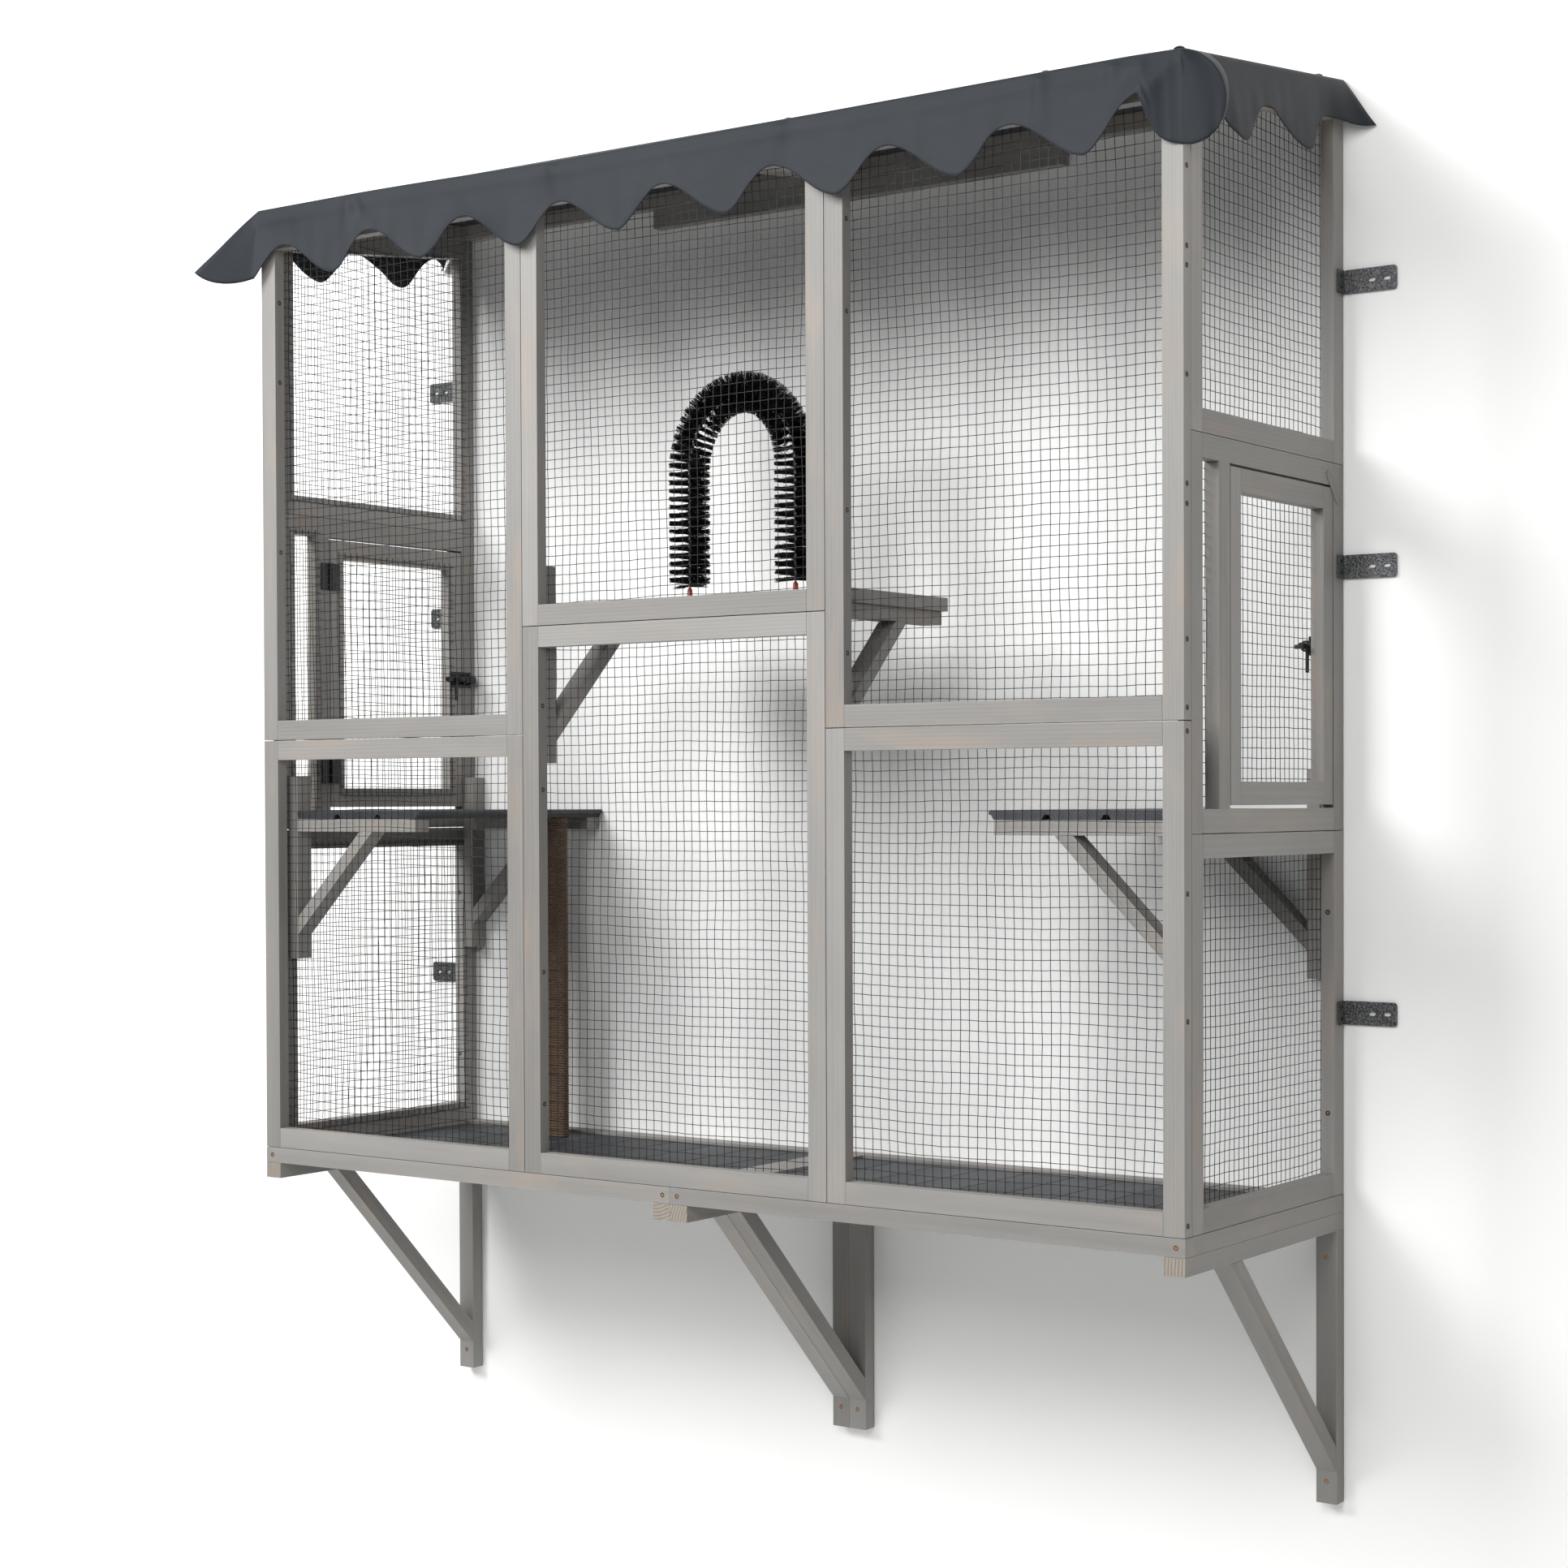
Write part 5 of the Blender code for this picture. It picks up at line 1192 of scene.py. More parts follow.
class CATIO_OT_staples(bpy.types.Operator):
    """Staples that hold the wire mesh"""

    bl_idname = "catio.staples"
    bl_label = "Staples"

    def execute(self, context):
        tree = scatter_tree()
        groups = {"catio": [], "door_left": [], "door_right": []}
        step = context.scene.catio_mesh.staple_step
        for _, body, window, slope, place in net_places():
            low_u, low_v, high_u, high_v = window
            inset = BOARD_WIDE - STAPLE_LAP
            left, right = low_u + inset, high_u - inset
            bottom, top = low_v + inset, high_v - inset
            facing = place.to_3x3() @ Vector((0, 0, 1))
            spots = []
            wide, tall = right - left, top - bottom
            across = max(2, round(wide / step))
            upright = max(2, round(tall / step))
            for index in range(across + 1):
                u = left + wide * index / across
                spots += [(u, bottom, 0.0), (u, top - slope * (right - u), 0.0)]
            for index in range(1, upright):
                spots += [(left, bottom + (tall - slope * wide) * index / upright, 1.0),
                          (right, bottom + tall * index / upright, 1.0)]
            for u, v, turned in spots:
                # each staple is set a little askew
                skew = math.sin(u * STAPLE_SKEW[0] + v * STAPLE_SKEW[1])
                spin = math.pi / 2 * turned + STAPLE_TILT * skew
                groups[body].append((place @ Vector((u, v, 0.0)), facing, spin))
        for body, places in groups.items():
            scatter("staples_" + body, tree, staple_piece(), places, "staple", body)
        return {"FINISHED"}


# Brush arch: where it stands, its height, and the sizes of its bristles and core
BRUSH_Y = -0.271
BRUSH_SPAN = 0.0885
BRUSH_FOOT = 0.7703
BRUSH_LEG = 0.180
BRUSH_RISE = 0.101
BRUSH_RADIUS = 0.0288
BRUSH_CORE = 0.0008
BRUSH_SEED = 3
BRUSH_SPREAD = (0.20, 0.55)
BRUSH_TILT = 0.10
BRUSH_SHORTEST = 0.93
BRISTLES_FROM = 0.024
CORE_FROM = 0.006
CORE_WIRE = 0.0011
CORE_STEP = 0.0016
FOOT_GAP = 0.0002


def arch_points(start, steps=40):
    """Points of the arch's centre line from one foot to the other."""
    heights = [BRUSH_FOOT + start + (BRUSH_LEG - start) * index / steps
               for index in range(steps)]
    points = [(-BRUSH_SPAN, BRUSH_Y, height) for height in heights]
    for index in range(steps + 1):
        angle = math.pi * index / steps
        points.append((-BRUSH_SPAN * math.cos(angle), BRUSH_Y,
                       BRUSH_FOOT + BRUSH_LEG + BRUSH_RISE * math.sin(angle)))
    return points + [(BRUSH_SPAN, BRUSH_Y, height) for height in reversed(heights)]


def path_curve(name, points):
    """An open poly curve through points."""
    curve = bpy.data.curves.new(name, "CURVE")
    curve.dimensions = "3D"
    line = curve.splines.new("POLY")
    line.points.add(len(points) - 1)
    for point, place in zip(line.points, points):
        point.co = (*place, 1.0)
    return curve


def random_of(tree, low, high, index, seed):
    """A random number for each point."""
    return add_node(tree, "FunctionNodeRandomValue",
                    {2: low, 3: high, "ID": index, "Seed": seed},
                    data_type="FLOAT").outputs[1]


def bristle_tree():
    """Bristles in two helical rows round a path, each a three-sided thread."""
    tree, given = new_tree("bristles", [
        ("Count", "Int"), ("Radius", "Float"), ("Core", "Float"), ("Thread", "Float"),
        ("Turn Length", "Float"), ("Seed", "Int"), ("Material", "Material")])
    gone = tree.nodes.new("GeometryNodeSplineParameter").outputs["Length"]
    stored = add_node(tree, "GeometryNodeStoreNamedAttribute",
                      {"Geometry": given["Geometry"], "Name": "travelled", "Value": gone},
                      data_type="FLOAT", domain="POINT")
    spots = add_node(tree, "GeometryNodeCurveToPoints",
                     {"Curve": stored.outputs[0], "Count": given["Count"]}, mode="COUNT")
    index = tree.nodes.new("GeometryNodeInputIndex").outputs[0]
    # the bend opens the rows, so that its bristles spread wider than those of the legs
    rise = add_node(tree, "ShaderNodeSeparateXYZ", {"Vector": spots.outputs["Tangent"]})
    bend = calc(tree, "SUBTRACT", 1.0, calc(tree, "ABSOLUTE", rise.outputs["Z"]))
    on_legs, on_bend = BRUSH_SPREAD
    spread = calc(tree, "MULTIPLY_ADD", bend, on_bend, on_legs)
    seed = given["Seed"]
    jitter = calc(tree, "MULTIPLY", random_of(tree, -1.0, 1.0, index, seed), spread)
    tilt = random_of(tree, -BRUSH_TILT, BRUSH_TILT, index, calc(tree, "ADD", seed, 11.0))
    size = random_of(tree, BRUSH_SHORTEST, 1.0, index, calc(tree, "ADD", seed, 23.0))
    travelled = add_node(tree, "GeometryNodeInputNamedAttribute", {"Name": "travelled"},
                         data_type="FLOAT").outputs["Attribute"]
    half = calc(tree, "MULTIPLY", calc(tree, "MODULO", index, 2.0), math.pi)
    turns = calc(tree, "MULTIPLY", calc(tree, "DIVIDE", travelled, given["Turn Length"]),
                 -2 * math.pi)
    angle = calc(tree, "ADD", calc(tree, "ADD", turns, half), jitter)
    local_turn = add_node(tree, "FunctionNodeEulerToRotation",
                          {"Euler": vector_of(tree, Y=tilt, Z=angle)})
    spin = add_node(tree, "FunctionNodeRotateRotation",
                    {"Rotation": spots.outputs["Rotation"],
                     "Rotate By": local_turn.outputs[0]}, rotation_space="LOCAL")
    thread = straight(tree, vector_of(tree, X=given["Core"]),
                      vector_of(tree, X=given["Radius"]))
    placed = copies(tree, spots.outputs["Points"], tube(tree, thread, 3, given["Thread"]),
                    Rotation=spin.outputs[0], Scale=vector_of(tree, X=size, Y=1.0, Z=1.0))
    end_tree(tree, placed, given["Material"])
    return tree


def twist_tree():
    """Two round wires twisted about a path."""
    tree, given = new_tree("twisted_wire", [("Wire Radius", "Float"),
                                            ("Turn Length", "Float"),
                                            ("Material", "Material")])
    radius = given["Wire Radius"]
    both = add_node(tree, "GeometryNodeJoinGeometry")
    fine = add_node(tree, "GeometryNodeResampleCurve",
                    {"Curve": given["Geometry"], "Length": CORE_STEP}, mode="LENGTH")
    length = tree.nodes.new("GeometryNodeSplineParameter").outputs["Length"]
    tangent = tree.nodes.new("GeometryNodeInputTangent").outputs[0]
    side = vector_calc(tree, "CROSS_PRODUCT", tangent, (0.0, 1.0, 0.0))
    turns = calc(tree, "MULTIPLY", calc(tree, "DIVIDE", length, given["Turn Length"]),
                 2 * math.pi)
    for phase in (0.0, math.pi):
        angle = calc(tree, "ADD", turns, phase)
        reach_y = calc(tree, "MULTIPLY", calc(tree, "COSINE", angle), radius)
        reach_s = calc(tree, "MULTIPLY", calc(tree, "SINE", angle), radius)
        shift = vector_calc(tree, "ADD", vector_of(tree, Y=reach_y),
                            vector_calc(tree, "SCALE", side, reach_s))
        wound = moved(tree, fine.outputs[0], shift)
        feed(tree, both, {0: tube(tree, wound, 8, radius)})
    end_tree(tree, both.outputs[0], given["Material"])
    return tree


class CATIO_OT_brush(bpy.types.Operator):
    """The arched grooming brush on the middle shelf"""

    bl_idname = "catio.brush"
    bl_label = "Brush arch"

    def execute(self, context):
        settings = context.scene.catio_brush
        values = {"Count": settings.count, "Radius": BRUSH_RADIUS, "Core": BRUSH_CORE,
                  "Thread": settings.thread / 2, "Turn Length": settings.turn,
                  "Seed": BRUSH_SEED, "Material": FINISH["bristle"]}
        mesh = grown_mesh(path_curve("arch", arch_points(BRISTLES_FROM)), bristle_tree(),
                          values)
        nodes = ["brush_arch_" + word + part for word in ("left", "right")
                 for part in ("_leg", "_bend")]
        place_piece("brush_bristles", mesh, "bristle", "catio", nodes)
        mesh = grown_mesh(path_curve("core", arch_points(CORE_FROM)), twist_tree(),
                          {"Wire Radius": CORE_WIRE, "Turn Length": settings.turn / 2,
                           "Material": FINISH["twist"]})
        place_piece("brush_core", mesh, "twist", "catio")
        for word, side in SIDES:
            name = "brush_foot_" + word
            foot = (side * BRUSH_SPAN, BRUSH_Y, BRUSH_FOOT + FOOT_GAP)
            place_piece(name, spun(BRUSH_FOOT_CAP, name, foot), "red", "catio")
        return {"FINISHED"}


# Scratching post: its rope, how far a turn wanders, and the board inside
ROPE = 0.0038
ROPE_SHARE = 0.53
ROPE_WANDER = 0.0006
ROPE_CORNER = 0.005
ROPE_FLAT = 0.0005
CORNERS = ((1, 1), (-1, 1), (-1, -1), (1, -1))
LAY_RADIUS = 0.024
BOARD_INSET = 0.9


def rope_tree():
    """Rope wound round a flat board: one closed loop for each turn, stacked upwards."""
    tree, given = new_tree("wound_rope", [("Turns", "Int"), ("Rope", "Float"),
                                          ("Low", "Float"), ("Material", "Material")])
    rope = given["Rope"]
    first = calc(tree, "ADD", given["Low"], calc(tree, "MULTIPLY", rope, 0.5))
    line = row_of_points(tree, given["Turns"], vector_of(tree, Z=first),
                         vector_of(tree, Z=rope))
    stacked = copies(tree, line, given["Geometry"])
    real = add_node(tree, "GeometryNodeRealizeInstances", {"Geometry": stacked})
    shift = vector_calc(tree, "SCALE", centred_noise(tree, 90.0), ROPE_WANDER)
    loose = moved(tree, real.outputs[0], shift)
    radius = calc(tree, "MULTIPLY", rope, ROPE_SHARE)
    end_tree(tree, tube(tree, loose, 6, radius, False), given["Material"])
    return tree


class CATIO_OT_scratch_post(bpy.types.Operator):
    """The board wound with sisal rope"""

    bl_idname = "catio.scratch_post"
    bl_label = "Scratching post"

    def execute(self, context):
        low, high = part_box("scratch_post")
        turns = int((high.z - low.z) / ROPE)
        rope = (high.z - low.z) / turns
        center = (low + high) / 2
        half_x = (high.x - low.x) / 2 - rope * ROPE_SHARE
        half_y = (high.y - low.y) / 2 - rope * ROPE_SHARE
        round_by = min(half_y - ROPE_FLAT, ROPE_CORNER)
        loop = []
        for corner, (sign_x, sign_y) in enumerate(CORNERS):
            x = center.x + sign_x * (half_x - round_by)
            y = center.y + sign_y * (half_y - round_by)
            for index in range(5):
                angle = math.pi / 2 * (corner + index / 4)
                loop.append((x + round_by * math.cos(angle), y + round_by * math.sin(angle),
                             0.0))
        curve = path_curve("turn", loop)
        curve.splines[0].use_cyclic_u = True
        mesh = grown_mesh(curve, rope_tree(), {"Turns": turns, "Rope": rope, "Low": low.z,
                                               "Material": FINISH["sisal"]})
        lay = []
        for vertex in mesh.vertices:
            around = math.atan2(vertex.co.y - center.y, vertex.co.x - center.x)
            lay.append((around * LAY_RADIUS, vertex.co.z, vertex.co.y))
        store(mesh, "lay", lay)
        mesh.shade_smooth()
        place_piece("sisal_rope", mesh, "sisal", "catio", ["scratch_post"])
        boards = Boards(130)
        inset = rope * BOARD_INSET
        boards.box((low.x + inset, low.y + inset, low.z),
                   (high.x - inset, high.y - inset, high.z), "Z")
        boards.finish("sisal_board", "fir", "catio")
        return {"FINISHED"}


# Roof cover: lengths in metres, leans and sweeps in degrees
COVER_EDGE = 0.0045
COVER_CUT = 0.056
COVER_LOBE = 0.108
COVER_CORNER = 0.130
COVER_PERIOD = 0.1734
FOLD_RADIUS = 0.006
FRONT_FIRST_CUT = 0.0575
SIDE_FIRST_CUT = 0.040
LOBE_BOTTOM = 0.585
SLOW_FLANK = 0.25
STEEP_FLANK = 1.45
SIDE_SHARE = 0.9
HANG_LEAN = 2.0
LOBE_LEAN = 3.0
REAR_FLARE = 0.070
REAR_LEAN = 30.0
LEFT_FLARE = 0.070
LEFT_LEAN = 36.0
LEFT_RIDGE_LEAN = 46.0
PETAL_WIDE = 0.041
PETAL_CUT = 0.050
PETAL_FRONT = 0.107
PETAL_SIDE = 0.110
PETAL_LONG = 0.111
PETAL_SWEEP = 18.0
PETAL_RIDGE = 20.0
PETAL_FLANK = 0.030
PETAL_FADE = 4
NEAR_ZERO = 1e-6
SLACK = (0.0015, 0.0060)
SLACK_FROM = -0.12
SLACK_LONG = 0.45
PETAL_BACK = 0.045
PETAL_RETURN = 0.036
PETAL_LEANS = {"corner": -1.0, "crease": -20.0, "hem": -2.0, "side": (76.0, -26.0)}
SIDE_STEPS = 72
FRONT_STEPS = 300
CORNER_STEPS = 24
ARC_STEPS = 4
DROP_STEPS = 22


def scallop_share(distance):
    """0 at the bottom of a lobe and 1 at the top of a cut; the second flank is steeper."""
    phase = (distance / COVER_PERIOD) % 1.0
    if phase < LOBE_BOTTOM:
        rise = 1 - phase / LOBE_BOTTOM
        return (1 - SLOW_FLANK) * (1 - math.cos(math.pi * rise)) / 2 + SLOW_FLANK * rise
    rise = (phase - LOBE_BOTTOM) / (1 - LOBE_BOTTOM)
    return 1 - ((1 + math.cos(math.pi * rise)) / 2) ** STEEP_FLANK


def hang(out, degrees):
    """A way down that leans outwards."""
    lean = math.radians(degrees)
    return out * math.sin(lean) + Vector((0.0, 0.0, -math.cos(lean)))


def eased(value):
    """A smooth rise from 0 to 1."""
    value = min(max(value, 0.0), 1.0)
    return value * value * (3 - 2 * value)


class Station:
    """A place on the cover's edge: where its cloth starts, which way it falls, how far."""

    def __init__(self, edge, out, plain, top, low, reach, hold=0.0):
        self.edge = edge
        self.out = out
        self.plain = plain
        self.top = top
        self.low = low
        self.reach = reach
        self.hold = hold

    def way(self, gone):
        """The way the cloth falls once a length of it has gone by."""
        if gone < self.hold:
            return self.plain
        left = max(self.reach - self.hold, NEAR_ZERO)
        return self.top.slerp(self.low, (gone - self.hold) / left)


def slack_at(across):
    """How far the loose cloth stands up along the front edge, more towards the left."""
    low, high = SLACK
    total = low + high * eased((SLACK_FROM - across) / SLACK_LONG)
    return total * eased((HALF_WIDE - across) / (2 * PETAL_WIDE))


def side_station(side, place):
    """A station on a side's edge."""
    distance = place + COVER_EDGE
    share = scallop_share(distance - SIDE_FIRST_CUT)
    reach = (COVER_LOBE - (COVER_LOBE - COVER_CUT) * share) * SIDE_SHARE
    lean = HANG_LEAN + LOBE_LEAN * (1 - share)
    from_wall = SLOPE_LONG + COVER_EDGE - distance
    lean += REAR_LEAN * max(0.0, 1 - from_wall / REAR_FLARE) ** 2
    top = low = lean
    sweep = 0.0
    if side == -1:
        top = low = lean + LEFT_LEAN * max(0.0, 1 - distance / LEFT_FLARE) ** 2
    else:
        billow = 1 - eased((distance - PETAL_BACK) / PETAL_RETURN)
        top = lean + (PETAL_LEANS["side"][0] - lean) * billow
        low = lean + (PETAL_LEANS["side"][1] - lean) * billow
        petal = PETAL_SIDE * (1 - (distance / (2 * SIDE_FIRST_CUT)) ** 2)
        if distance < SIDE_FIRST_CUT:
            reach = max(reach, petal)
        sweep = math.radians(PETAL_SWEEP) * billow
    slack = slack_at(side * HALF_WIDE) * (1 - eased(distance / SLACK_LONG))
    out = Vector((side, 0.0, 0.0))
    fall = Vector((side * math.cos(sweep), math.sin(sweep), 0.0))
    edge = Vector((side * (HALF_WIDE + COVER_EDGE - FOLD_RADIUS), place, slack))
    return Station(edge, out, hang(out, HANG_LEAN), hang(fall, top), hang(fall, low), reach)


def front_station(place):
    """A station on the front edge; the last ones before the right corner start its petal."""
    share = scallop_share(place + HALF_WIDE - FRONT_FIRST_CUT)
    reach = COVER_LOBE - (COVER_LOBE - COVER_CUT) * share
    plain = top = low = HANG_LEAN + LOBE_LEAN * (1 - share)
    hold = 0.0
    from_corner = HALF_WIDE + COVER_EDGE - FOLD_RADIUS - place
    inner = from_corner / PETAL_WIDE
    if inner < 1:
        # the cloth comes out to the crease and falls back below it
        reach = PETAL_CUT + (PETAL_FRONT - PETAL_CUT) * math.sqrt(1 - inner ** 3)
        hold = PETAL_CUT * inner
        plain = PETAL_RIDGE
        top = PETAL_LEANS["corner"] + (PETAL_LEANS["crease"] - PETAL_LEANS["corner"]) * inner
        low = PETAL_LEANS["hem"]
    else:
        reach -= (COVER_CUT - PETAL_CUT) * math.exp(-((inner - 1) * PETAL_FADE) ** 2)
        beyond = (from_corner - PETAL_WIDE) / PETAL_FLANK
        top = low = plain + (PETAL_RIDGE - plain) * math.exp(-beyond * beyond)
    out = Vector((0.0, -1.0, 0.0))
    edge = Vector((place, FOLD_RADIUS - COVER_EDGE, slack_at(place)))
    return Station(edge, out, hang(out, plain), hang(out, top), hang(out, low), reach, hold)


def corner_stations(side):
    """Stations that fan round a corner, from the side to the front."""
    near = side_station(side, FOLD_RADIUS - COVER_EDGE)
    far = front_station(side * (HALF_WIDE + COVER_EDGE - FOLD_RADIUS))
    if side == 1:
        ridge_top = near.top.slerp(far.top, 0.5)
        ridge_low = near.low.slerp(far.low, 0.5)
    else:
        ridge_top = ridge_low = hang((near.out + far.out).normalized(), LEFT_RIDGE_LEAN)
    for index in range(1, CORNER_STEPS):
        share = index / CORNER_STEPS
        if share <= 0.5:
            top = near.top.slerp(ridge_top, 2 * share)
            low = near.low.slerp(ridge_low, 2 * share)
        else:
            top = ridge_top.slerp(far.top, 2 * share - 1)
            low = ridge_low.slerp(far.low, 2 * share - 1)
        reach = near.reach + (far.reach - near.reach) * share
        reach += ((PETAL_LONG if side == 1 else COVER_CORNER) - reach) * math.sin(math.pi * share)
        out = near.out.slerp(far.out, share)
        yield Station(near.edge, out, top, top, low, reach)


def hem_stations():
    """Every station, from the left rear corner round the front to the right rear one."""
    half = HALF_WIDE + COVER_EDGE - FOLD_RADIUS
    front_y = FOLD_RADIUS - COVER_EDGE
    side_places = [front_y + (SLOPE_LONG - front_y) * index / SIDE_STEPS
                   for index in range(SIDE_STEPS + 1)]
    stations = [side_station(-1, place) for place in reversed(side_places)]
    stations += corner_stations(-1)
    stations += [front_station(-half + 2 * half * index / FRONT_STEPS)
                 for index in range(FRONT_STEPS + 1)]
    stations += reversed(list(corner_stations(1)))
    stations += [side_station(1, place) for place in side_places]
    return stations


# Creases that start at a snap: place along the front, slant, depth where they end, height
CREASES = ((-0.5577, -0.16, 0.090, 0.0048), (-0.5577, 0.75, 0.055, -0.0040),
           (0.5640, -0.04, 0.110, 0.0040), (0.6605, -0.03, 0.070, 0.0040),
           (-0.1850, 0.10, 0.070, 0.0030), (0.1900, -0.12, 0.070, 0.0030))
CREASE_WIDE = 0.0085
CREASE_SPREAD = 12
FACING_FRONT = 0.99
BAND_DEPTH = 0.012
BAND_HIGH = 0.0012


def crease_height(station, gone):
    """How far the creases and the band along the frame's edge lift the cloth."""
    if abs(station.out.y) < FACING_FRONT or station.hold > 0:
        return 0.0
    total = BAND_HIGH * math.exp(-((gone - BAND_DEPTH) / CREASE_WIDE) ** 2)
    for place, slant, end, high in CREASES:
        wide = CREASE_WIDE * (1 + CREASE_SPREAD * gone)
        off = (station.edge.x - place - slant * gone) / wide
        total += high * math.exp(-off * off) * (1 - eased(gone / end))
    return total


# The cloth's flat places, its waves as (weight, along, down, seed), its sag and its snaps
FAR_FROM_HEM = 0.2
LEAST_STEP = 0.0035
CLOTH_START, ARC_LONG, CLOTH_HANG = 3.0, 0.002, 2.99
FOLD_WAVES = ((1.0, 13.0, 0.6, 4.2), (0.45, 39.0, 1.3, 9.1))
TOP_SAG, TOP_RIPPLE = 0.004, 0.0012
RIPPLE = (5.0, 9.0, 1.7)
SNAP_GAP = 0.0002
SNAPS = ((-0.556, 0.012), (-0.185, 0.012), (0.190, 0.012), (0.562, 0.012),
         (-0.737, 0.012), (-0.737, 0.386), (0.737, 0.012), (0.737, 0.386))


def opening_share(place, rail):
    """How far across an opening a place lies, 0 to 1, held at 0 or 1 on the rails."""
    return min(max((place - rail) / (1 - 2 * rail), 0.0), 1.0)


class CATIO_OT_cover(bpy.types.Operator):
    """The scalloped fabric cover and its snap fasteners"""

    bl_idname = "catio.cover"
    bl_label = "Roof cover"

    def execute(self, context):
        fold = context.scene.catio_cover.fold
        thick = context.scene.catio_cover.thickness
        place = slope_place(ROOF_BOARD + HAIRLINE + thick)
        tilt = place.to_3x3()
        stations = hem_stations()
        points, faces, cloth, hem = [], [], [], []

        def put(spot, flat, from_hem):
            points.append(tuple(spot))
            cloth.append(flat)
            hem.append(from_hem)
            return len(points) - 1

        up = tilt @ Vector((0.0, 0.0, 1.0))
        heads, rows = {}, []
        travelled = 0.0
        last = None
        for station in stations:
            edge = station.edge
            key = (round(edge.x, 5), round(edge.y, 5))
            if key not in heads:
                heads[key] = put(place @ edge, (edge.x, edge.y, 0.0), FAR_FROM_HEM)
            if last is not None:
                travelled += max((edge - last).length, LEAST_STEP)
            last = edge
            flat_out = (tilt @ station.out).normalized()
            row = [heads[key]]
            first_way = station.way(0.0)
            turn = flat_out.angle(first_way)
            axis = flat_out.cross(first_way).normalized()
            spot = place @ edge
            for index in range(1, ARC_STEPS + 1):
                angle = turn * (index - 0.5) / ARC_STEPS
                spot += (Matrix.Rotation(angle, 3, axis) @ flat_out) * (FOLD_RADIUS * turn
                                                                        / ARC_STEPS)
                row.append(put(spot, (travelled, CLOTH_START - index * ARC_LONG, 0.0),
                               FAR_FROM_HEM))
            rest = station.reach - FOLD_RADIUS * turn / 2
            for index in range(1, DROP_STEPS + 1):
                share = index / DROP_STEPS
                way = station.way(rest * (share - 0.5 / DROP_STEPS))
                spot = spot + way * rest / DROP_STEPS
                wave = 0.0
                for weight, along, down, seed in FOLD_WAVES:
                    wave += weight * noise.noise(Vector((travelled * along, down * share,
                                                         seed)))
                normal = (station.out - way * station.out.dot(way)).normalized()
                lift = fold * wave * share + crease_height(station, rest * share)
                row.append(put(spot + normal * lift,
                               (travelled, CLOTH_HANG - rest * share, 0.0),
                               rest * (1 - share)))
            rows.append(row)
        for left, right in zip(rows, rows[1:]):
            for index in range(len(left) - 1):
                corners = [left[index], right[index], right[index + 1], left[index + 1]]
                faces.append(list(dict.fromkeys(corners)))
        # the top: a grid between the two sides, sagging a hair inside the frames' rails
        side_rail = BOARD_WIDE / HALF_WIDE
        cross_rail = (BOARD_WIDE + COVER_EDGE) * math.cos(SLOPE) / DEPTH
        left_heads = [row[0] for row in rows[:SIDE_STEPS + 1]]
        right_heads = [row[0] for row in reversed(rows[-SIDE_STEPS - 1:])]
        first_front = SIDE_STEPS + CORNER_STEPS
        front_heads = [row[0] for row in rows[first_front:first_front + FRONT_STEPS + 1]]
        grid = []
        for index, (near, far) in enumerate(zip(left_heads, right_heads)):
            if index == SIDE_STEPS:
                grid.append(front_heads)
                continue
            line = [near]
            start, end = Vector(points[near]), Vector(points[far])
            along = math.sin(math.pi * opening_share(index / SIDE_STEPS, cross_rail))
            for step in range(1, FRONT_STEPS):
                share = step / FRONT_STEPS
                spot = start.lerp(end, share)
                across = opening_share((spot.x + HALF_WIDE) % HALF_WIDE / HALF_WIDE, side_rail)
                inner = max(along * math.sin(math.pi * across), 0.0)
                ripple = noise.noise(Vector((spot.x * RIPPLE[0], spot.y * RIPPLE[1],
                                             RIPPLE[2])))
                lift = (TOP_RIPPLE * ripple - TOP_SAG) * inner
                line.append(put(spot + up * lift, (spot.x, spot.y, 0.0),
                                FAR_FROM_HEM if index else 0.0))
            grid.append(line + [far])
        for near, far in zip(grid, grid[1:]):
            for step in range(FRONT_STEPS):
                faces.append([near[step], near[step + 1], far[step + 1], far[step]])
        mesh = bpy.data.meshes.new("canvas_cover")
        mesh.from_pydata(points, [], faces)
        store(mesh, "cloth", cloth)
        store(mesh, "hem", hem)
        shape = bmesh.new()
        shape.from_mesh(mesh)
        bmesh.ops.recalc_face_normals(shape, faces=shape.faces)
        tops = sum(face.normal.z * face.calc_area() for face in shape.faces)
        if tops < 0:
            bmesh.ops.reverse_faces(shape, faces=shape.faces)
        area = sum(face.calc_area() for face in shape.faces)
        shape.to_mesh(mesh)
        shape.free()
        mesh.shade_smooth()
        cover = place_piece("canvas_cover", mesh, "cloth", "catio", ["roof_cover"])
        shell = cover.modifiers.new("thickness", "SOLIDIFY")
        shell.thickness = thick
        shell.offset = -1.0
        place = slope_place(ROOF_BOARD + HAIRLINE + 2 * thick + SNAP_GAP)
        snaps = [(place @ Vector((x, y, 0.0)), up, 0.0) for x, y in SNAPS]
        scatter("snap_fasteners", scatter_tree(), spun(SNAP_CAP, "snap_head"), snaps,
                "steel", "catio")
        return {"FINISHED"}


# Finishes by the start of a node's name, and the stop plates' sizes
METAL = {"hinge": "steel", "latch": "steel", "wall_angle": "hammered"}
PLATE_MIDDLE = (DOORWAY_REAR - 0.003, 0.893)
PLATE_TILT = -47.0
PLATE_HALF = 0.01975
PLATE_ROUND = 0.006
PLATE_FACES = (-0.0001, 0.0014)
PLATE_SOFT = 0.0003
PLATE_STEPS = 8


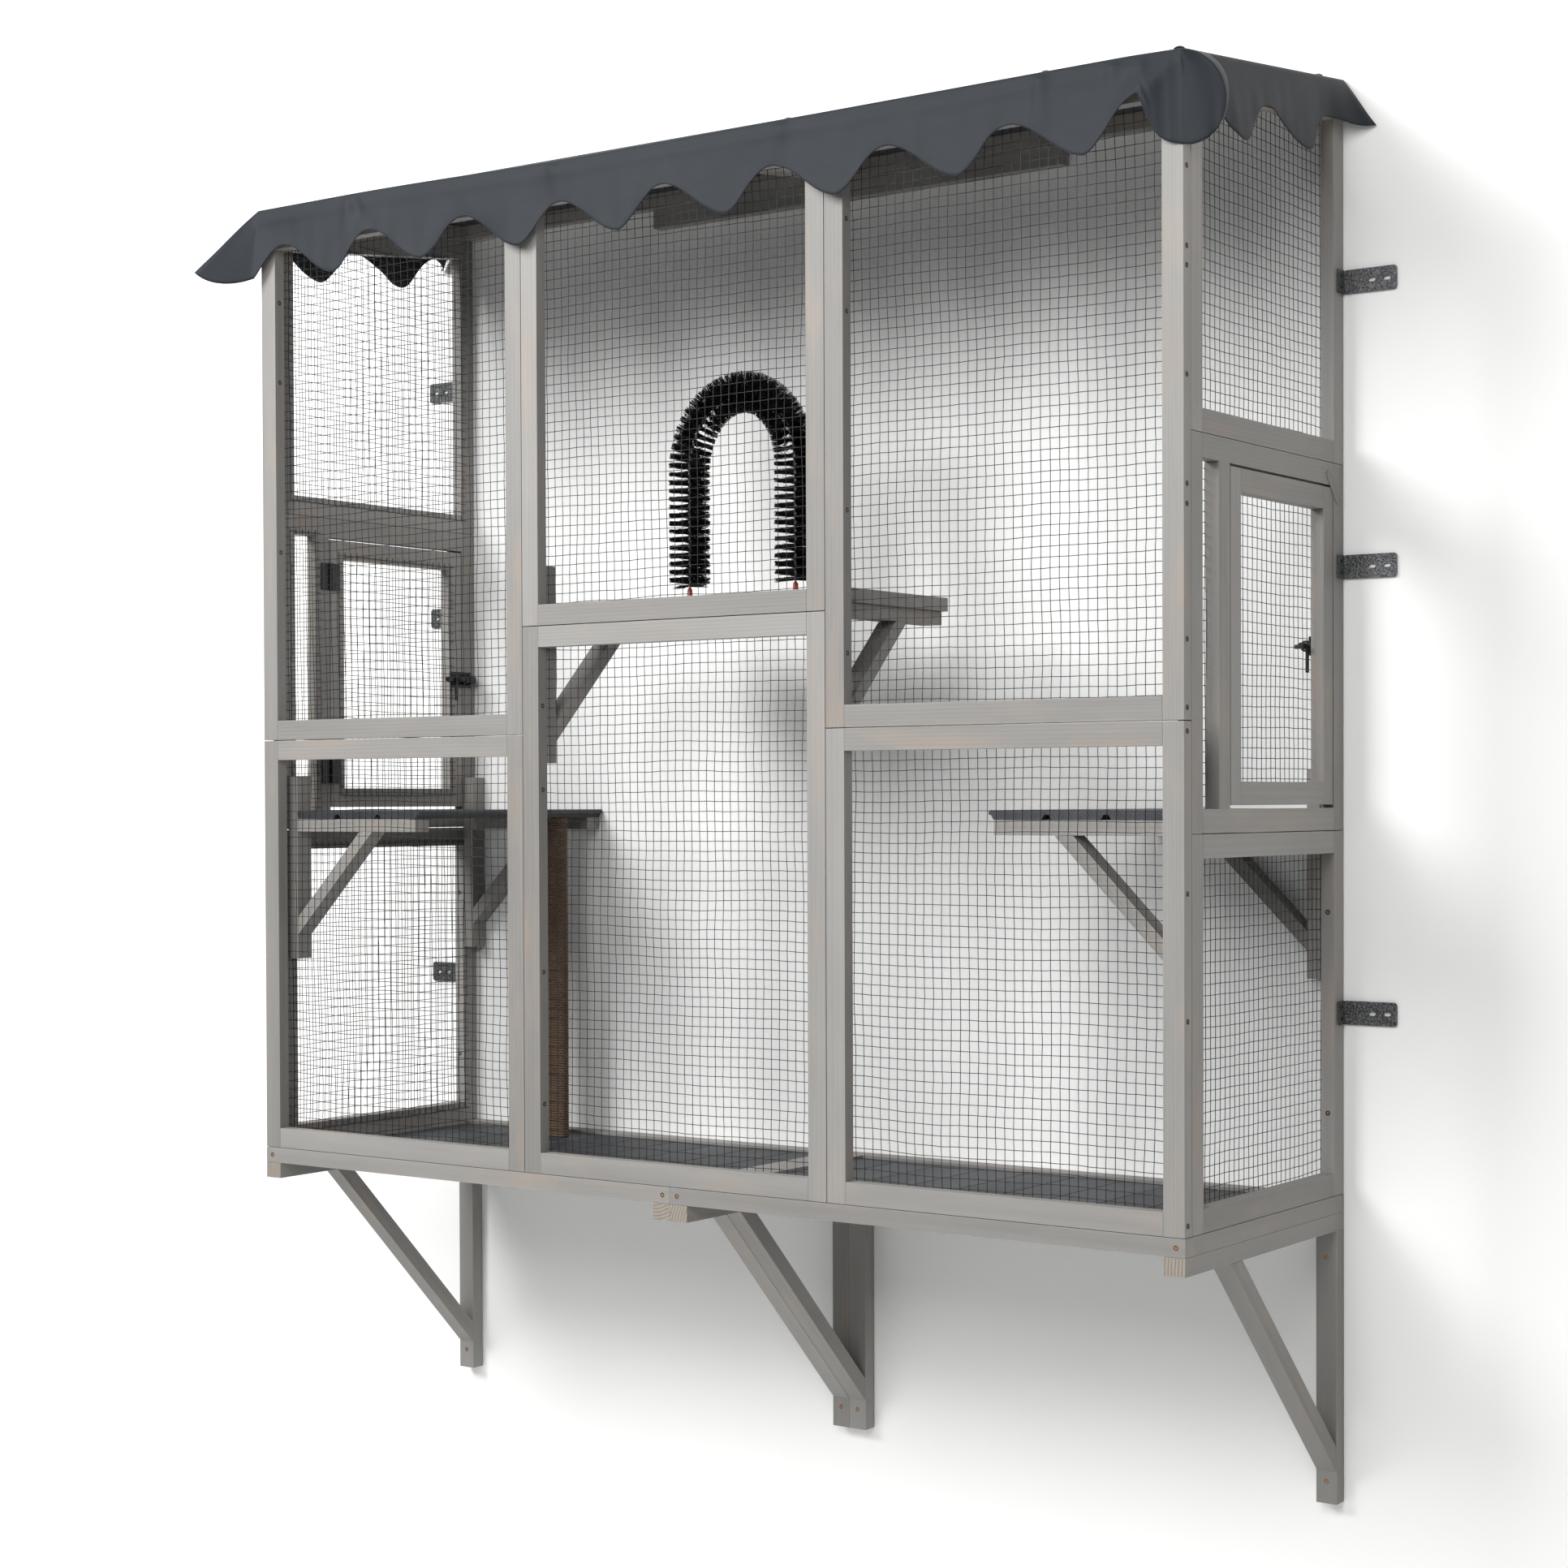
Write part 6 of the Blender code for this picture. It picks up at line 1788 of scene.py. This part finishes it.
class CATIO_OT_ironmongery(bpy.types.Operator):
    """Finishes of the hinges, latches and angles, with the stop plates"""

    bl_idname = "catio.ironmongery"
    bl_label = "Hinges, latches and angles"

    def execute(self, context):
        for name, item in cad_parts.items():
            for start, finish in METAL.items():
                if name.startswith(start):
                    item.data.materials.clear()
                    item.data.materials.append(FINISH[finish])
        for word, side in SIDES:
            self.stop_plate(word, side)
        return {"FINISHED"}

    def stop_plate(self, word, side):
        """The slanted plate on the doorway's top rear corner, stained like the boards."""
        boards = Boards(140 + side)
        middle_y, middle_z = PLATE_MIDDLE
        tilt = math.radians(PLATE_TILT)
        outline = []
        for end in (1, -1):
            for index in range(PLATE_STEPS + 1):
                angle = math.pi * (index / PLATE_STEPS - end / 2)
                u = end * PLATE_HALF + PLATE_ROUND * math.cos(angle)
                v = PLATE_ROUND * math.sin(angle)
                outline.append((middle_y + u * math.cos(tilt) - v * math.sin(tilt),
                                middle_z + u * math.sin(tilt) + v * math.cos(tilt)))
        faces = [side * (HALF_WIDE + out) for out in PLATE_FACES]
        boards.add(outline, min(faces), max(faces), ALONG, (math.cos(tilt), math.sin(tilt)),
                   softness=PLATE_SOFT)
        boards.finish("stop_plate_" + word, "fir", "catio")


# The backdrop, the soft boxes as (name, spot, target, size), and the fitted camera
FLOOR_DROP, FLOOR_REACH, FLOOR_ROUND = 0.75, 7.0, 0.25
WALL_GAP, WALL_HIGH = 0.002, 5.0
FLOOR_STEPS, FLOOR_SHARP = 12, 60
SOFT_BOXES = (("key", (-1.5, -3.1, 2.6), (0.0, -0.1, 0.8), 1.8),
              ("front", (1.2, -3.6, 2.2), (0.1, -0.1, 0.8), 2.0),
              ("side", (4.2, -1.6, 1.5), (0.6, -0.2, 0.5), 2.4))
PHOTO_SIZE = 1932
CAMERA_LONG = 3353.8
CAMERA_SPOT = (2.1849, -3.2143, 0.5026)
CAMERA_AZIMUTH, CAMERA_ROLL, CAMERA_FALL = 35.579, -0.205, -0.0148
CAMERA_SHIFT = (-0.0044, 0.0361)


class CATIO_OT_stage(bpy.types.Operator):
    """Pale floor, soft light and the camera at the photographed angle"""

    bl_idname = "catio.stage"
    bl_label = "Stage"

    def execute(self, context):
        scene = context.scene
        low = CAD_BOX[0].z - FLOOR_DROP
        rise = [(-FLOOR_REACH, 0.0)]
        for index in range(FLOOR_STEPS + 1):
            angle = math.pi / 2 * index / FLOOR_STEPS
            rise.append((WALL_GAP - FLOOR_ROUND * (1 - math.sin(angle)),
                         FLOOR_ROUND * (1 - math.cos(angle))))
        rise.append((WALL_GAP, WALL_HIGH))
        shape = bmesh.new()
        rows = [[shape.verts.new((x, y, low + z)) for x in (-FLOOR_REACH, FLOOR_REACH)]
                for y, z in rise]
        for near, far in zip(rows, rows[1:]):
            shape.faces.new((near[0], near[1], far[1], far[0]))
        mesh = mesh_of(shape, "studio_floor", FLOOR_SHARP)
        if sum(polygon.normal.z for polygon in mesh.polygons) < 0:
            mesh.flip_normals()
        mesh.materials.append(FINISH["floor"])
        backdrop = bpy.data.objects.new("studio_floor", mesh)
        scene.collection.objects.link(backdrop)
        world = bpy.data.worlds.new("studio")
        scene.world = world
        world.use_nodes = True
        ground = world.node_tree.nodes["Background"]
        ground.inputs["Color"].default_value = linear("#FFFFFF")
        ground.inputs["Strength"].default_value = scene.catio_stage.fill
        for name, spot, target, size in SOFT_BOXES:
            self.light(name, spot, target, size, getattr(scene.catio_stage, name))
        self.camera(scene)
        scene.view_settings.view_transform = "Standard"
        return {"FINISHED"}

    def light(self, name, spot, target, size, power):
        """A square soft box that points at the object."""
        data = bpy.data.lights.new(name, "AREA")
        data.size = size
        data.energy = power
        item = bpy.data.objects.new(name, data)
        item.location = spot
        way = Vector(target) - Vector(spot)
        item.rotation_euler = way.to_track_quat("-Z", "Y").to_euler()
        bpy.context.scene.collection.objects.link(item)

    def camera(self, scene):
        """The camera that the photograph's straight edges give."""
        data = bpy.data.cameras.new("photo_camera")
        item = bpy.data.objects.new("photo_camera", data)
        scene.collection.objects.link(item)
        scene.camera = item
        azimuth, roll = math.radians(CAMERA_AZIMUTH), math.radians(CAMERA_ROLL)
        level = math.sqrt(1 - CAMERA_FALL * CAMERA_FALL)
        ahead = Vector((-math.sin(azimuth) * level, math.cos(azimuth) * level, CAMERA_FALL))
        right = ahead.cross(Vector((0.0, 0.0, 1.0))).normalized()
        above = right.cross(ahead)
        right, above = (right * math.cos(roll) + above * math.sin(roll),
                        above * math.cos(roll) - right * math.sin(roll))
        turned = Matrix((right, above, -ahead)).transposed().to_4x4()
        turned.translation = CAMERA_SPOT
        item.matrix_world = turned
        data.sensor_width = 36.0
        data.lens = CAMERA_LONG / PHOTO_SIZE * data.sensor_width
        data.shift_x, data.shift_y = CAMERA_SHIFT
        data.clip_end = 60.0


# What a user may change
def length(name, description, default, low, high):
    """A setting in metres."""
    return FloatProperty(name=name, description=description, default=default, min=low,
                         max=high, unit="LENGTH")


def power(name, description, default):
    """A light's power in watts."""
    return FloatProperty(name=name, description=description, default=default, min=0.0,
                         max=4000.0, unit="POWER")


class CATIO_PG_timber(bpy.types.PropertyGroup):
    """Sizes of the boards' finish."""

    softness: length("Edge rounding", "How far board edges are eased", 0.0005, 0.0002, 0.003)


class CATIO_PG_mesh(bpy.types.PropertyGroup):
    """Sizes of the wire mesh."""

    pitch: length("Pitch", "Distance from wire to wire", 0.0127, 0.006, 0.06)
    wire: length("Wire", "Diameter of a wire", 0.00095, 0.0004, 0.003)
    wave: length("Wave", "How far the mesh strays from straight", 0.011, 0.0, 0.03)
    staple_step: length("Staple step", "Distance between staples", 0.062, 0.02, 0.2)


class CATIO_PG_brush(bpy.types.PropertyGroup):
    """Sizes of the brush."""

    count: IntProperty(name="Bristles", description="Number of bristles", default=16000,
                       min=500, max=20000)
    thread: length("Thread", "Thickness of a bristle", 0.0007, 0.0002, 0.002)
    turn: length("Turn", "Length of one full turn of the rows", 0.0221, 0.01, 0.1)


class CATIO_PG_cover(bpy.types.PropertyGroup):
    """Sizes of the fabric cover."""

    fold: length("Fold depth", "How deep the hem's folds are", 0.006, 0.0, 0.02)
    thickness: length("Thickness", "Thickness of the canvas", 0.0012, 0.0005, 0.003)


class CATIO_PG_stage(bpy.types.PropertyGroup):
    """Lights of the stage."""

    fill: FloatProperty(name="Fill", description="Brightness of the room", default=0.075,
                        min=0.0, max=4.0)
    key: power("Key", "Power of the main soft box", 160.0)
    side: power("Side", "Power of the soft box at the right", 9.0)
    front: power("Front", "Power of the front soft box", 88.0)


class CATIO_PT_panel(bpy.types.Panel):
    """Lists the catio's pieces and their sizes"""

    bl_idname = "CATIO_PT_panel"
    bl_label = "Window catio"
    bl_space_type = "VIEW_3D"
    bl_region_type = "UI"
    bl_category = "Catio"

    def draw(self, context):
        layout = self.layout
        for group in GROUPS:
            settings = getattr(context.scene, group)
            for name in settings.__annotations__:
                layout.prop(settings, name)
        for operator in OPERATORS:
            layout.operator(operator.bl_idname)


GROUPS = {"catio_timber": CATIO_PG_timber, "catio_mesh": CATIO_PG_mesh,
          "catio_brush": CATIO_PG_brush, "catio_cover": CATIO_PG_cover,
          "catio_stage": CATIO_PG_stage}

OPERATORS = (CATIO_OT_front_panels, CATIO_OT_side_panels, CATIO_OT_doors, CATIO_OT_base,
             CATIO_OT_floors, CATIO_OT_brackets, CATIO_OT_roof_frames, CATIO_OT_wire_mesh,
             CATIO_OT_staples, CATIO_OT_screws, CATIO_OT_brush, CATIO_OT_scratch_post,
             CATIO_OT_cover, CATIO_OT_ironmongery, CATIO_OT_stage)


def register():
    """Register the classes and their settings."""
    for name, group in GROUPS.items():
        bpy.utils.register_class(group)
        setattr(bpy.types.Scene, name, PointerProperty(type=group))
    for operator in OPERATORS:
        bpy.utils.register_class(operator)
    bpy.utils.register_class(CATIO_PT_panel)


def unregister():
    """Remove the classes and their settings."""
    bpy.utils.unregister_class(CATIO_PT_panel)
    for operator in reversed(OPERATORS):
        bpy.utils.unregister_class(operator)
    for name, group in GROUPS.items():
        delattr(bpy.types.Scene, name)
        bpy.utils.unregister_class(group)


def main():
    """Build every piece in order."""
    register()
    make_finishes()
    for operator in OPERATORS:
        group, name = operator.bl_idname.split(".")
        getattr(getattr(bpy.ops, group), name)()


if __name__ == "__main__":
    main()
